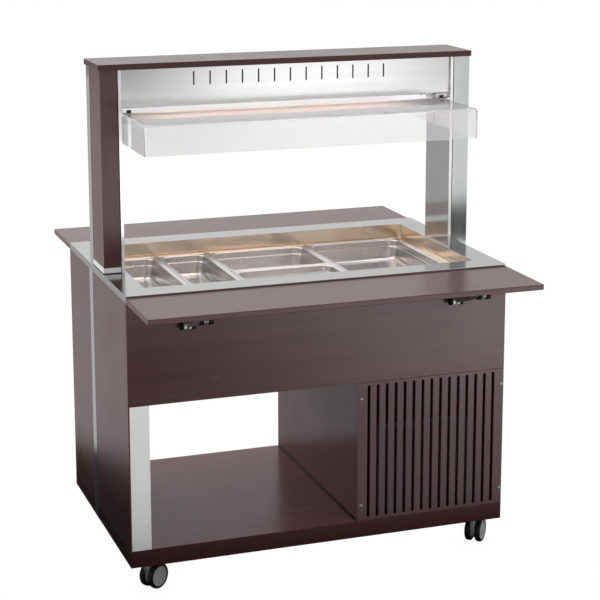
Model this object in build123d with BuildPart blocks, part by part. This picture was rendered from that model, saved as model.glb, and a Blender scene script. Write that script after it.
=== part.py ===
from build123d import *
import os
from math import atan2, cos, degrees, hypot, radians, sin

os.makedirs("parts", exist_ok=True)

# Buffet trolley: a laminate cabinet on castors with a cooled well in its top, a lit canopy on two
# posts, a clear sneeze guard along each side and a tray that folds down along each side.
# Frame: origin on the floor under the middle, X along the length, Y to the rear, Z up.

# Cabinet
body_length = 1145.0
body_depth = 720.0
castor_height = 95.0
base_thickness = 50.0
bay_height = 422.0
apron_height = 297.0
rim_edge = 19.0
rim_sheet = 2.0
rim_corner = 2.5
board = 16.0
ceiling_board = 10.0
edge_round = 1.0
sheet = 1.5
leg_width = 60.0
leg_reveal = 4.0
compartment_length = 465.5

# Compartment grille
slot_count = 15
slot_pitch = 28.25
slot_width = 9.0
slot_margin = 9.0
screw_inset_left = 12.0
screw_inset_right = 7.5
screw_inset_z = 48.0
screw_radius = 2.0
screw_head_radius = 4.5
screw_head = 2.2
screw_bite = 12.0
screw_tip_gap = 1.0
screw_dome = 1.3
screw_clearance = 0.1

# Well and gastronorm pans
well_end = 72.5
well_width = 562.0
well_corner = 8.0
well_depth = 150.0
rim_drop = 45.0
basin_flange = 14.0
ledge_lap = 11.5
lower_corner = 16.0
foam_wall = 30.0
foam_gap = 0.3
pan_end_gap = 12.5
gn_width = 530.0
pan_gap = 1.0
pan_flange = 12.0
pan_sheet = 1.2
pan_depth = 65.0
pan_corner = 30.0
pan_flange_corner = 10.0
pan_floor_round = 14.0
bar_width = 20.0
bar_rib = 15.0

# Posts and canopy
post_height = 584.0
post_depth = 176.0
post_inset = 4.5
carrier_width = 45.0
carrier_depth = 50.0
carrier_wall = 2.5
cladding_wall = 8.0
cover_gap = 11.0
cover_lip = 8.5
collar_height = 17.0
collar_proud = 1.5
roof_thickness = 17.0
roof_overhang = 4.0
roof_round = 1.5

# Lamp housing
housing_height = 107.0
housing_depth = 160.0
housing_flange = 10.0
vent_count = 13
vent_end = 214.8
vent_width = 4.5
vent_height = 40.0
vent_drop = 12.0
reflector_end_gap = 37.0
reflector_sheet = 1.0
reflector_mouth = 120.0
reflector_crown = 52.0
reflector_height = 54.0
reflector_lift = 8.0
hanger_length = 30.0
hanger_width = 20.0
hanger_inset = 170.0
tube_inset = 45.0
tube_radius = 13.0
tube_drop = 30.0
holder_length = 16.0
holder_width = 30.0
holder_below = 15.0

# Sneeze guards
guard_sheet = 5.0
guard_end_gap = 9.0
guard_reach = 307.0
guard_back = 66.0
guard_tail = 4.0
guard_height = 87.0
guard_below_housing = 19.0
guard_bend = 10.0
clip_width = 20.0
clip_y = 77.0
clip_sheet = 2.0
clip_arm = 33.0
clip_tab = 15.0
clip_bolt_inset = 24.0
clip_bolt_radius = 2.5
clip_knob_radius = 7.0
clip_knob = 8.0
clip_nut = 4.0
clip_nut_radius = 4.0
clip_clearance = 0.2

# Trays, hinges and support arms
tray_depth = 238.0
tray_board = 16.0
tray_gap = 2.0
tray_drop = 5.0
tray_round = 2.0
hinge_out = 6.5
hinge_drop = 6.5
hinge_length = 60.0
hinge_end = 272.5
hinge_leaf = 2.0
hinge_leaf_height = 36.0
hinge_flap_width = 32.0
hinge_flap_inset = 1.0
knuckle_radius = 4.0
knuckle_gap = 0.4
hinge_pin_radius = 2.0
running_fit = 0.05
arm_end = 168.5
arm_out = 16.0
arm_drop = 72.0
arm_reach = 200.0
arm_width = 19.0
arm_half_height = 7.0
arm_end_radius = 8.0
arm_pin_radius = 4.0
roller_radius = 11.0
roller_width = 9.7
roller_gap = 0.3
arm_side_gap = 0.5
cheek_sheet = 2.0
cheek_half_height = 9.0
cheek_past_pin = 7.0
bracket_half_height = 20.0
bracket_half_width = 15.0

# Castors
castor_end = 62.5
castor_side = 60.0
castor_plate = 70.0
castor_plate_sheet = 3.0
castor_bolt_radius = 5.0
castor_bolt_head = 3.0
castor_bolt_spacing = 52.0
kingpin_radius = 6.0
wheel_radius = 37.5
tyre_width = 17.0
tyre_round = 5.0
rim_disc_radius = 31.0
rim_disc_recess = 1.5
wheel_spacing = 15.0
hood_side_gap = 1.0
hood_radius = 27.0
hood_neck_radius = 17.0
hood_neck_height = 15.0
hood_top_gap = 0.3
castor_trail = 25.0
axle_radius = 4.0
front_left_heading = 33.4
front_right_heading = 47.3
rear_left_heading = 40.0
rear_right_heading = 55.0

# Cooling unit in the compartment
condenser_length = 300.0
condenser_depth = 55.0
condenser_height = 280.0
condenser_gap = 14.0
condenser_end = 262.5
fin_pitch = 8.0
fin_slot = 6.0
fin_slot_depth = 25.0
fin_border = 14.0
shroud_sheet = 3.0
fan_hole_radius = 118.0
fan_radius = 112.0
fan_hub_radius = 26.0
fan_hub_length = 34.0
fan_stand_off = 26.0
fan_shaft_radius = 4.0
blade_count = 5
blade_chord = 46.0
blade_sheet = 2.5
blade_pitch_angle = 25.0
motor_radius = 34.0
motor_length = 50.0
motor_gap = 12.0
motor_bar = 12.0
compressor_end = 212.5
compressor_y = 120.0
compressor_radius = 75.0
compressor_height = 190.0
compressor_dome = 45.0
compressor_foot = 30.0
foot_plate = 4.0
foot_length = 210.0
foot_width = 150.0
grommet_radius = 14.0
grommet_height = 12.0
terminal_box = 50.0
stub_radius = 4.0
stub_height = 40.0
stub_sink = 10.0
stub_offset = 30.0

# Controls on the rear apron
panel_end = 352.5
panel_drop = 110.0
panel_length = 160.0
panel_height = 70.0
panel_sheet = 2.0
panel_corner = 3.0
switch_offset = -40.0
switch_length = 26.0
switch_height = 19.0
switch_wall = 3.0
switch_depth = 15.0
rocker_side_gap = 0.5
rocker_half_height = 8.0
rocker_proud = 4.0
rocker_dish = 1.5
rocker_root = 8.0
rocker_root_half = 5.0
rocker_pivot_depth = 4.0
rocker_pin_radius = 1.5
rocker_pin = 2.5
knob_offset = 40.0
knob_radius = 16.0
knob_height = 15.0
knob_gap = 0.5
knob_shaft_radius = 3.0
knob_shaft = 12.0
knob_ridge = 4.0
knob_round = 2.0
knob_hole_gap = 1.0
inlet_end = 72.5
inlet_rise = 50.0
inlet_length = 28.0
inlet_height = 20.0
inlet_depth = 25.0
inlet_wall = 2.5
inlet_socket = 15.0
inlet_flange_length = 50.0
inlet_flange_height = 26.0
inlet_pin_spacing = 7.0
inlet_pin = 10.0
inlet_pin_width = 2.0
inlet_pin_height = 4.0
inlet_pin_rise = 2.0
cutout_gap = 0.2

# Levels and edges that several pieces share
half_length = body_length / 2
half_depth = body_depth / 2
z_base = castor_height
z_bay = z_base + base_thickness
z_apron = z_bay + bay_height
z_rim = z_apron + apron_height
z_top = z_rim + rim_edge
z_ledge = z_top - rim_drop
z_floor = z_ledge - well_depth
z_roof = z_top + post_height
z_housing = z_roof - housing_height
z_guard = z_housing - guard_below_housing
half_post = post_depth / 2
carrier_front = half_post - carrier_width
x_post = half_length - post_inset
x_inner = x_post - carrier_depth
x_cover = x_inner - cover_gap
half_housing = housing_depth / 2
divider_x = half_length - compartment_length
well_length = body_length - 2 * well_end
gn_length = (well_length - 2 * pan_end_gap) / 3
guard_length = 2 * (x_cover - guard_end_gap)
reflector_length = 2 * (x_cover - reflector_end_gap)
hanger_spacing = reflector_length - 2 * hanger_inset
tube_length = reflector_length - 2 * tube_inset
vent_pitch = 2 * (x_cover - vent_end) / (vent_count - 1)
hinge_spacing = half_length - hinge_end
arm_x = half_length - arm_end
castor_x = half_length - castor_end
castor_y = half_depth - castor_side
condenser_x = half_length - condenser_end
compressor_x = half_length - compressor_end
panel_x = half_length - panel_end
inlet_x = half_length - inlet_end
lower_length = 3 * gn_length - 2 * ledge_lap
lower_width = gn_width - 2 * ledge_lap
z_tray = z_top - tray_drop
z_tray_under = z_tray - tray_board
y_hinge = half_depth + hinge_out
z_hinge = z_tray_under - hinge_drop
y_arm = half_depth + arm_out
z_arm = z_tray_under - arm_drop
y_roller = half_depth + arm_reach
z_roller = z_tray_under - roller_gap - roller_radius
arm_half = arm_width / 2 + arm_side_gap + cheek_sheet
x_screw_left = divider_x + screw_inset_left
x_screw_right = half_length - screw_inset_right
z_panel = z_rim - panel_drop
x_switch = panel_x + switch_offset
x_knob = panel_x + knob_offset
z_inlet = z_apron + inlet_rise
sides = {"left": -1, "right": 1}
faces_of_trolley = {"front": -1, "rear": 1}


# Box between two opposite corners, given in any order
def block(corner, opposite, mode=Mode.ADD):
    middle = tuple((a + b) / 2 for a, b in zip(corner, opposite))
    size = [abs(a - b) for a, b in zip(corner, opposite)]
    with Locations(middle):
        Box(*size, mode=mode)


# Cylinder about a line along X, Y or Z
def rod(middle, along, length, radius, mode=Mode.ADD):
    turn = {"X": (0, 90, 0), "Y": (90, 0, 0), "Z": (0, 0, 0)}[along]
    with Locations(middle):
        Cylinder(radius, length, rotation=turn, mode=mode)


# Pieces that belong together, kept as separate solids under one name
def write_group(label, *pieces):
    group = Compound(label=label, children=[solid for piece in pieces for solid in piece.solids()])
    export_step(group, f"parts/{label}.step")


# Base plate, notched for the two post carriers
with BuildPart() as base_plate:
    block((-half_length, -half_depth, z_base), (half_length, half_depth, z_bay))
    fillet(base_plate.edges(), radius=edge_round)
    for side in sides.values():
        block(
            (side * half_length, -side * carrier_front, z_base),
            (side * x_inner, -side * half_post, z_bay),
            Mode.SUBTRACT,
        )
base_plate.part.label = "base_plate"
export_step(base_plate.part, "parts/base_plate.step")


# Side panel of the left end: full depth beside the leg, set back behind the apron above it
def make_left_panel(label, face, inner_edge):
    with BuildPart() as panel:
        with BuildSketch(Plane.YZ.offset(-half_length)):
            with BuildLine():
                Polyline(
                    (face * half_depth, z_bay),
                    (inner_edge, z_bay),
                    (inner_edge, z_rim),
                    (face * (half_depth - board), z_rim),
                    (face * (half_depth - board), z_apron),
                    (face * half_depth, z_apron),
                    close=True,
                )
            make_face()
        extrude(amount=board)
        fillet(panel.edges().filter_by(Axis.Z).group_by(Axis.X)[0], radius=edge_round)
        block(
            (leg_reveal - half_length, face * half_depth, z_bay),
            (board - half_length, face * (half_depth - sheet), z_apron),
            Mode.SUBTRACT,
        )
    panel.part.label = label
    export_step(panel.part, f"parts/{label}.step")


make_left_panel("left_front_panel", -1, carrier_front)
make_left_panel("left_rear_panel", 1, half_post)


# Side panel of the right end, with pilot holes for the grille screws in its outer edge
def make_right_panel(label, face, inner_edge):
    outer_edge = face * (half_depth - board)
    with BuildPart() as panel:
        block((half_length - board, outer_edge, z_bay), (half_length, inner_edge, z_rim))
        fillet(panel.edges().filter_by(Axis.Z).group_by(Axis.X)[-1], radius=edge_round)
        for z in (z_bay + screw_inset_z, z_apron - screw_inset_z):
            rod(
                (x_screw_right, outer_edge - face * screw_bite / 2, z),
                "Y",
                screw_bite,
                screw_radius + screw_clearance,
                Mode.SUBTRACT,
            )
    panel.part.label = label
    export_step(panel.part, f"parts/{label}.step")


make_right_panel("right_front_panel", -1, -half_post)
make_right_panel("right_rear_panel", 1, -carrier_front)

# Folded steel casing of the left leg: front and rear faces and the side towards the open bay
with BuildPart() as leg_casing:
    x_leg = leg_width - half_length
    block((x_leg - sheet, -half_depth, z_bay), (x_leg, half_depth, z_apron))
    for face in faces_of_trolley.values():
        block(
            (leg_reveal - half_length, face * half_depth, z_bay),
            (x_leg, face * (half_depth - sheet), z_apron),
        )
leg_casing.part.label = "leg_casing"
export_step(leg_casing.part, "parts/leg_casing.step")

# Front apron
with BuildPart() as front_apron:
    block((-half_length, -half_depth, z_apron), (half_length, board - half_depth, z_rim))
    fillet(front_apron.edges(), radius=edge_round)
front_apron.part.label = "front_apron"
export_step(front_apron.part, "parts/front_apron.step")

# Rear apron with the cut-outs for switch, knob shaft and power inlet
with BuildPart() as rear_apron:
    block((-half_length, half_depth, z_apron), (half_length, half_depth - board, z_rim))
    fillet(rear_apron.edges(), radius=edge_round)
    y_apron = half_depth - board / 2
    with Locations((x_switch, y_apron, z_panel)):
        Box(
            switch_length + 2 * switch_wall + cutout_gap,
            board,
            switch_height + 2 * switch_wall + cutout_gap,
            mode=Mode.SUBTRACT,
        )
    with Locations((inlet_x, y_apron, z_inlet)):
        Box(inlet_length + cutout_gap, board, inlet_height + cutout_gap, mode=Mode.SUBTRACT)
    rod((x_knob, y_apron, z_panel), "Y", board, knob_shaft_radius + knob_hole_gap, Mode.SUBTRACT)
rear_apron.part.label = "rear_apron"
export_step(rear_apron.part, "parts/rear_apron.step")

# Ceiling of the bay, notched for the post carriers
with BuildPart() as bay_ceiling:
    block(
        (board - half_length, board - half_depth, z_apron),
        (half_length - board, half_depth - board, z_apron + ceiling_board),
    )
    for side in sides.values():
        block(
            (side * half_length, -side * carrier_front, z_apron),
            (side * x_inner, -side * half_post, z_apron + ceiling_board),
            Mode.SUBTRACT,
        )
bay_ceiling.part.label = "bay_ceiling"
export_step(bay_ceiling.part, "parts/bay_ceiling.step")

# Wall between the open bay and the compressor compartment
with BuildPart() as compartment_divider:
    block((divider_x, board - half_depth, z_bay), (divider_x + board, half_depth - board, z_apron))
    for face in faces_of_trolley.values():
        for z in (z_bay + screw_inset_z, z_apron - screw_inset_z):
            rod(
                (x_screw_left, face * (half_depth - board - screw_bite / 2), z),
                "Y",
                screw_bite,
                screw_radius + screw_clearance,
                Mode.SUBTRACT,
            )
compartment_divider.part.label = "compartment_divider"
export_step(compartment_divider.part, "parts/compartment_divider.step")


# Slotted board that closes the compressor compartment
def make_grille(label, face):
    grille_x = (divider_x + half_length) / 2
    grille_z = (z_bay + z_apron) / 2
    with BuildPart() as grille:
        block((divider_x, face * half_depth, z_bay), (half_length, face * (half_depth - board), z_apron))
        fillet(grille.edges(), radius=edge_round)
        with BuildSketch(Plane.XZ.offset(-face * half_depth)):
            with Locations((grille_x, grille_z)):
                with GridLocations(slot_pitch, 0, slot_count, 1):
                    SlotOverall(bay_height - 2 * slot_margin, slot_width, rotation=90)
        extrude(amount=face * board, mode=Mode.SUBTRACT)
        for x in (x_screw_left, x_screw_right):
            for z in (z_bay + screw_inset_z, z_apron - screw_inset_z):
                rod(
                    (x, face * (half_depth - board / 2), z),
                    "Y",
                    board,
                    screw_radius + screw_clearance,
                    Mode.SUBTRACT,
                )
    grille.part.label = label
    export_step(grille.part, f"parts/{label}.step")


for name, face in faces_of_trolley.items():
    make_grille(f"{name}_grille", face)

# Grille screws: domed head outside, shank through the board into the panel edge behind it
with BuildPart() as grille_screws:
    for face in faces_of_trolley.values():
        for x in (x_screw_left, x_screw_right):
            for z in (z_bay + screw_inset_z, z_apron - screw_inset_z):
                rod((x, face * (half_depth + screw_head / 2), z), "Y", screw_head, screw_head_radius)
                shank = board + screw_bite - screw_tip_gap
                rod((x, face * (half_depth - shank / 2), z), "Y", shank, screw_radius)
    heads = grille_screws.edges().filter_by(GeomType.CIRCLE)
    outer = heads.filter_by(lambda e: abs(e.center().Y) > half_depth + screw_head / 2)
    fillet(outer, radius=screw_dome)
grille_screws.part.label = "grille_screws"
export_step(grille_screws.part, "parts/grille_screws.step")

# Top rim: polished sheet folded down round the outside, open over the well
with BuildPart() as top_rim:
    with BuildSketch(Plane.XY.offset(z_rim)):
        RectangleRounded(body_length, body_depth, rim_corner)
        RectangleRounded(well_length, well_width, well_corner, mode=Mode.SUBTRACT)
    extrude(amount=rim_edge)
    fillet(top_rim.faces().sort_by(Axis.Z)[-1].edges(), radius=edge_round)
    with BuildSketch(Plane.XY.offset(z_rim)):
        Rectangle(body_length - 2 * rim_sheet, body_depth - 2 * rim_sheet)
    extrude(amount=rim_edge - rim_sheet, mode=Mode.SUBTRACT)
    for side in sides.values():
        block(
            (side * x_post, -side * carrier_front, z_rim),
            (side * x_inner, -side * half_post, z_top),
            Mode.SUBTRACT,
        )
top_rim.part.label = "top_rim"
export_step(top_rim.part, "parts/top_rim.step")

# Well basin: flange under the rim, ledge for the pans, deep part below the ledge
with BuildPart() as well_basin:
    z_flange = z_top - rim_sheet - sheet
    with BuildSketch(Plane.XY.offset(z_flange)):
        RectangleRounded(well_length + 2 * basin_flange, well_width + 2 * basin_flange, well_corner)
    extrude(amount=sheet)
    with BuildSketch(Plane.XY.offset(z_ledge - sheet)):
        RectangleRounded(well_length + 2 * sheet, well_width + 2 * sheet, well_corner + sheet)
    extrude(amount=z_flange - z_ledge + sheet)
    with BuildSketch(Plane.XY.offset(z_floor - sheet)):
        RectangleRounded(lower_length + 2 * sheet, lower_width + 2 * sheet, lower_corner + sheet)
    extrude(amount=well_depth)
    with BuildSketch(Plane.XY.offset(z_ledge)):
        RectangleRounded(well_length, well_width, well_corner)
    extrude(amount=z_flange + sheet - z_ledge, mode=Mode.SUBTRACT)
    with BuildSketch(Plane.XY.offset(z_floor)):
        RectangleRounded(lower_length, lower_width, lower_corner)
    extrude(amount=well_depth, mode=Mode.SUBTRACT)
well_basin.part.label = "well_basin"
export_step(well_basin.part, "parts/well_basin.step")

# Foam jacket round the deep part of the well
with BuildPart() as well_insulation:
    foam_fit = 2 * (sheet + foam_gap)
    foam_base = z_floor - sheet - foam_wall
    with BuildSketch(Plane.XY.offset(foam_base)):
        RectangleRounded(
            lower_length + foam_fit + 2 * foam_wall, lower_width + foam_fit + 2 * foam_wall, lower_corner
        )
    extrude(amount=z_ledge - sheet - foam_base)
    with BuildSketch(Plane.XY.offset(z_floor - sheet)):
        RectangleRounded(lower_length + foam_fit, lower_width + foam_fit, lower_corner + sheet + foam_gap)
    extrude(amount=well_depth, mode=Mode.SUBTRACT)
well_insulation.part.label = "well_insulation"
export_step(well_insulation.part, "parts/well_insulation.step")

# Crossbars that carry the pans: T-shaped bars across the well and a rail between the two half pans
with BuildPart() as pan_crossbars:
    bar_spots = (-gn_length, -gn_length / 2, gn_length / 2)
    for x in bar_spots:
        block(
            (x - bar_width / 2, -lower_width / 2, z_ledge - sheet),
            (x + bar_width / 2, lower_width / 2, z_ledge),
        )
        block(
            (x - sheet / 2, -lower_width / 2, z_ledge - bar_rib),
            (x + sheet / 2, lower_width / 2, z_ledge - sheet),
        )
    rail_end = gn_length / 2 - bar_width / 2
    block((-rail_end, -bar_width / 2, z_ledge - sheet), (rail_end, bar_width / 2, z_ledge))
    block((-rail_end, -sheet / 2, z_ledge - bar_rib), (rail_end, sheet / 2, z_ledge - sheet))
pan_crossbars.part.label = "pan_crossbars"
export_step(pan_crossbars.part, "parts/pan_crossbars.step")


# Gastronorm pan: flat flange that rests on the ledge and bars, rounded bowl below
def make_pan(label, x, y, length, width):
    mouth_length = length - 2 * pan_flange
    mouth_width = width - 2 * pan_flange
    pan_top = z_ledge + pan_sheet
    with BuildPart() as pan:
        with BuildSketch(Plane((x, y, pan_top - pan_depth))):
            RectangleRounded(mouth_length, mouth_width, pan_corner)
        extrude(amount=pan_depth)
        fillet(pan.faces().sort_by(Axis.Z)[0].edges(), radius=pan_floor_round)
        offset(amount=-pan_sheet, openings=pan.faces().sort_by(Axis.Z)[-1])
        with BuildSketch(Plane((x, y, z_ledge))):
            RectangleRounded(length - pan_gap, width - pan_gap, pan_flange_corner)
            RectangleRounded(
                mouth_length - 2 * pan_sheet,
                mouth_width - 2 * pan_sheet,
                pan_corner - pan_sheet,
                mode=Mode.SUBTRACT,
            )
        extrude(amount=pan_sheet)
    pan.part.label = label
    export_step(pan.part, f"parts/{label}.step")


make_pan("narrow_pan_outer", -gn_length * 1.25, 0, gn_length / 2, gn_width)
make_pan("narrow_pan_inner", -gn_length * 0.75, 0, gn_length / 2, gn_width)
make_pan("half_pan_front", 0, -gn_width / 4, gn_length, gn_width / 2)
make_pan("half_pan_rear", 0, gn_width / 4, gn_length, gn_width / 2)
make_pan("full_pan", gn_length, 0, gn_length, gn_width)

# Post carriers: square tubes from the base plate to the roof, flush with the cabinet side below the rim
with BuildPart() as post_carriers:
    for side in sides.values():
        block(
            (side * half_length, -side * carrier_front, z_base),
            (side * x_inner, -side * half_post, z_rim),
        )
        block((side * x_post, -side * carrier_front, z_rim), (side * x_inner, -side * half_post, z_roof))
        block(
            (side * (x_post - carrier_wall), -side * (carrier_front + carrier_wall), z_base),
            (side * (x_inner + carrier_wall), -side * (half_post - carrier_wall), z_roof),
            Mode.SUBTRACT,
        )
post_carriers.part.label = "post_carriers"
export_step(post_carriers.part, "parts/post_carriers.step")


# Laminate box beside the carrier; the right post is the left one turned half round
def make_cladding(label, side):
    with BuildPart() as cladding:
        z_foot = z_top + collar_height
        block((side * x_post, -side * carrier_front, z_foot), (side * x_inner, side * half_post, z_roof))
        fillet(cladding.edges().filter_by(Axis.Z), radius=edge_round)
        block(
            (side * (x_post - cladding_wall), -side * (carrier_front - cladding_wall), z_foot),
            (side * (x_inner + cladding_wall), side * (half_post - cladding_wall), z_roof),
            Mode.SUBTRACT,
        )
    cladding.part.label = label
    export_step(cladding.part, f"parts/{label}.step")


# Mirror-polished sheet on the inside of a post, with a lip folded back along each edge
def make_cover(label, side):
    with BuildPart() as cover:
        block((side * x_cover, -half_post, z_top), (side * (x_cover + sheet), half_post, z_roof))
        for face in faces_of_trolley.values():
            block(
                (side * x_cover, face * half_post, z_top),
                (side * (x_cover + cover_lip), face * (half_post - sheet), z_roof),
            )
    cover.part.label = label
    export_step(cover.part, f"parts/{label}.step")


for name, side in sides.items():
    make_cladding(f"{name}_post_cladding", side)
    make_cover(f"{name}_post_cover", side)

# Collars under the claddings
with BuildPart() as post_collars:
    for side in sides.values():
        block(
            (side * (x_post + collar_proud), -side * carrier_front, z_top),
            (side * x_inner, side * (half_post + collar_proud), z_top + collar_height),
        )
        block(
            (side * (x_post - cladding_wall), -side * (carrier_front - cladding_wall), z_top),
            (side * (x_inner + cladding_wall), side * (half_post - cladding_wall), z_top + collar_height),
            Mode.SUBTRACT,
        )
post_collars.part.label = "post_collars"
export_step(post_collars.part, "parts/post_collars.step")

# Roof board on the two posts
with BuildPart() as roof_board:
    half_roof = half_post + roof_overhang
    block((-half_length, -half_roof, z_roof), (half_length, half_roof, z_roof + roof_thickness))
    fillet(roof_board.edges(), radius=roof_round)
roof_board.part.label = "roof_board"
export_step(roof_board.part, "parts/roof_board.step")

# Lamp housing: folded steel trough, open below, with vent slots along its front and rear
with BuildPart() as lamp_housing:
    block((-x_cover, -half_housing, z_housing), (x_cover, half_housing, z_roof))
    block(
        (-x_cover, sheet - half_housing, z_housing),
        (x_cover, half_housing - sheet, z_roof - sheet),
        Mode.SUBTRACT,
    )
    for face in faces_of_trolley.values():
        block(
            (-x_cover, face * half_housing, z_housing),
            (x_cover, face * (half_housing - housing_flange), z_housing + sheet),
        )
    with BuildSketch(Plane.XZ):
        with Locations((0, z_roof - vent_drop - vent_height / 2)):
            with GridLocations(vent_pitch, 0, vent_count, 1):
                SlotOverall(vent_height, vent_width, rotation=90)
    extrude(amount=half_housing, both=True, mode=Mode.SUBTRACT)
lamp_housing.part.label = "lamp_housing"
export_step(lamp_housing.part, "parts/lamp_housing.step")

# Reflector: folded trough over the lamp, hung from the top of the housing
with BuildPart() as lamp_reflector:
    z_mouth = z_housing + reflector_lift
    z_crown = z_mouth + reflector_height
    with BuildSketch(Plane.YZ.offset(-reflector_length / 2)):
        for inset, mode in ((0, Mode.ADD), (reflector_sheet, Mode.SUBTRACT)):
            with BuildLine():
                Polyline(
                    (-reflector_mouth / 2 + inset, z_mouth),
                    (-reflector_crown / 2 + inset, z_crown - inset),
                    (reflector_crown / 2 - inset, z_crown - inset),
                    (reflector_mouth / 2 - inset, z_mouth),
                    close=True,
                )
            make_face(mode=mode)
    extrude(amount=reflector_length)
    for x in (-hanger_spacing / 2, hanger_spacing / 2):
        block(
            (x - hanger_length / 2, -hanger_width / 2, z_crown),
            (x + hanger_length / 2, hanger_width / 2, z_roof - sheet),
        )
lamp_reflector.part.label = "lamp_reflector"
export_step(lamp_reflector.part, "parts/lamp_reflector.step")

# Lamp tube and the two holders that hang it under the reflector's crown
z_tube = z_crown - tube_drop
with BuildPart() as lamp_tube:
    rod((0, 0, z_tube), "X", tube_length, tube_radius)
with BuildPart() as lamp_holders:
    for side in sides.values():
        block(
            (side * tube_length / 2, -holder_width / 2, z_tube - holder_below),
            (side * (tube_length / 2 + holder_length), holder_width / 2, z_crown - reflector_sheet),
        )
write_group("lamp_tube", lamp_tube, lamp_holders)


# Clear guard: bent sheet with a lip along its edge and end panels that run back between the posts
def make_guard(label, face):
    half_guard = guard_length / 2
    with BuildPart() as guard:
        block(
            (-half_guard, face * guard_reach, z_guard - guard_height),
            (half_guard, face * guard_back, z_guard),
        )
        uprights = guard.edges().filter_by(Axis.Z).sort_by(lambda e: -face * e.center().Y)[:2]
        top_edges = guard.faces().sort_by(Axis.Z)[-1].edges().sort_by(lambda e: -face * e.center().Y)[:3]
        fillet(uprights + top_edges, radius=guard_bend)
        underside = guard.faces().sort_by(Axis.Z)[0]
        back = guard.faces().sort_by(lambda f: face * f.center().Y)[0]
        offset(amount=-guard_sheet, openings=[underside, back])
        for side in sides.values():
            block(
                (side * half_guard, face * guard_back, z_guard - guard_height),
                (side * (half_guard - guard_sheet), face * guard_tail, z_guard - guard_bend),
            )
            rod(
                (side * (x_cover - clip_bolt_inset), face * clip_y, z_guard - guard_sheet / 2),
                "Z",
                guard_sheet,
                clip_bolt_radius + clip_clearance,
                Mode.SUBTRACT,
            )
    guard.part.label = label
    export_step(guard.part, f"parts/{label}.step")


for name, face in faces_of_trolley.items():
    make_guard(f"{name}_guard", face)

# Guard clips: an angle on the post cover over each rear corner of a guard, with a knob bolt and nut
with BuildPart() as clip_angles:
    for face in faces_of_trolley.values():
        for side in sides.values():
            y_low = face * (clip_y - clip_width / 2)
            y_high = face * (clip_y + clip_width / 2)
            heel = (side * x_cover, y_low, z_guard)
            block(heel, (side * (x_cover - clip_arm), y_high, z_guard + clip_sheet))
            block(heel, (side * (x_cover - clip_sheet), y_high, z_guard + clip_tab))
            rod(
                (side * (x_cover - clip_bolt_inset), face * clip_y, z_guard + clip_sheet / 2),
                "Z",
                clip_sheet,
                clip_bolt_radius,
                Mode.SUBTRACT,
            )
with BuildPart() as clip_knobs:
    for face in faces_of_trolley.values():
        for side in sides.values():
            x_bolt = side * (x_cover - clip_bolt_inset)
            z_bolt_foot = z_guard - guard_sheet - clip_nut
            bolt_length = z_guard + clip_sheet - z_bolt_foot
            rod((x_bolt, face * clip_y, z_bolt_foot + bolt_length / 2), "Z", bolt_length, clip_bolt_radius)
            z_knob = z_guard + clip_sheet + clip_knob / 2
            rod((x_bolt, face * clip_y, z_knob), "Z", clip_knob, clip_knob_radius)
            rod((x_bolt, face * clip_y, z_bolt_foot + clip_nut / 2), "Z", clip_nut, clip_nut_radius)
write_group("guard_clips", clip_angles, clip_knobs)

knuckle_length = hinge_length / 3
hinge_spots = (-hinge_spacing, 0, hinge_spacing)


# Fold-down tray with the moving halves of its hinges under its inner edge
def make_tray(label, face):
    with BuildPart() as tray_top:
        block(
            (-half_length, face * (half_depth + tray_gap), z_tray_under),
            (half_length, face * (half_depth + tray_gap + tray_depth), z_tray),
        )
        fillet(tray_top.edges(), radius=tray_round)
    with BuildPart() as flaps:
        half_knuckle = knuckle_length / 2 - knuckle_gap
        for x in hinge_spots:
            block(
                (x - hinge_length / 2, face * (y_hinge + hinge_flap_inset), z_tray_under),
                (x + hinge_length / 2, face * (y_hinge + hinge_flap_width), z_tray_under - hinge_leaf),
            )
            block(
                (x - half_knuckle, face * y_hinge, z_hinge),
                (x + half_knuckle, face * (y_hinge + knuckle_radius), z_tray_under - hinge_leaf),
            )
            rod((x, face * y_hinge, z_hinge), "X", 2 * half_knuckle, knuckle_radius)
            rod(
                (x, face * y_hinge, z_hinge), "X", hinge_length, hinge_pin_radius + running_fit, Mode.SUBTRACT
            )
    write_group(label, tray_top, flaps)


for name, face in faces_of_trolley.items():
    make_tray(f"{name}_tray", face)

# Fixed hinge leaves on the aprons and the hinge pins
with BuildPart() as hinge_leaves:
    for face in faces_of_trolley.values():
        for x in hinge_spots:
            block(
                (x - hinge_length / 2, face * half_depth, z_hinge - hinge_leaf_height),
                (x + hinge_length / 2, face * (half_depth + hinge_leaf), z_hinge),
            )
            for shift in (-knuckle_length, knuckle_length):
                block(
                    (x + shift - knuckle_length / 2, face * y_hinge, z_hinge - knuckle_radius),
                    (x + shift + knuckle_length / 2, face * half_depth, z_hinge),
                )
                rod((x + shift, face * y_hinge, z_hinge), "X", knuckle_length, knuckle_radius)
            rod((x, face * y_hinge, z_hinge), "X", hinge_length, hinge_pin_radius, Mode.SUBTRACT)
with BuildPart() as hinge_pins:
    for face in faces_of_trolley.values():
        for x in hinge_spots:
            rod((x, face * y_hinge, z_hinge), "X", hinge_length, hinge_pin_radius)
write_group("tray_hinges", hinge_leaves, hinge_pins)

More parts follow.
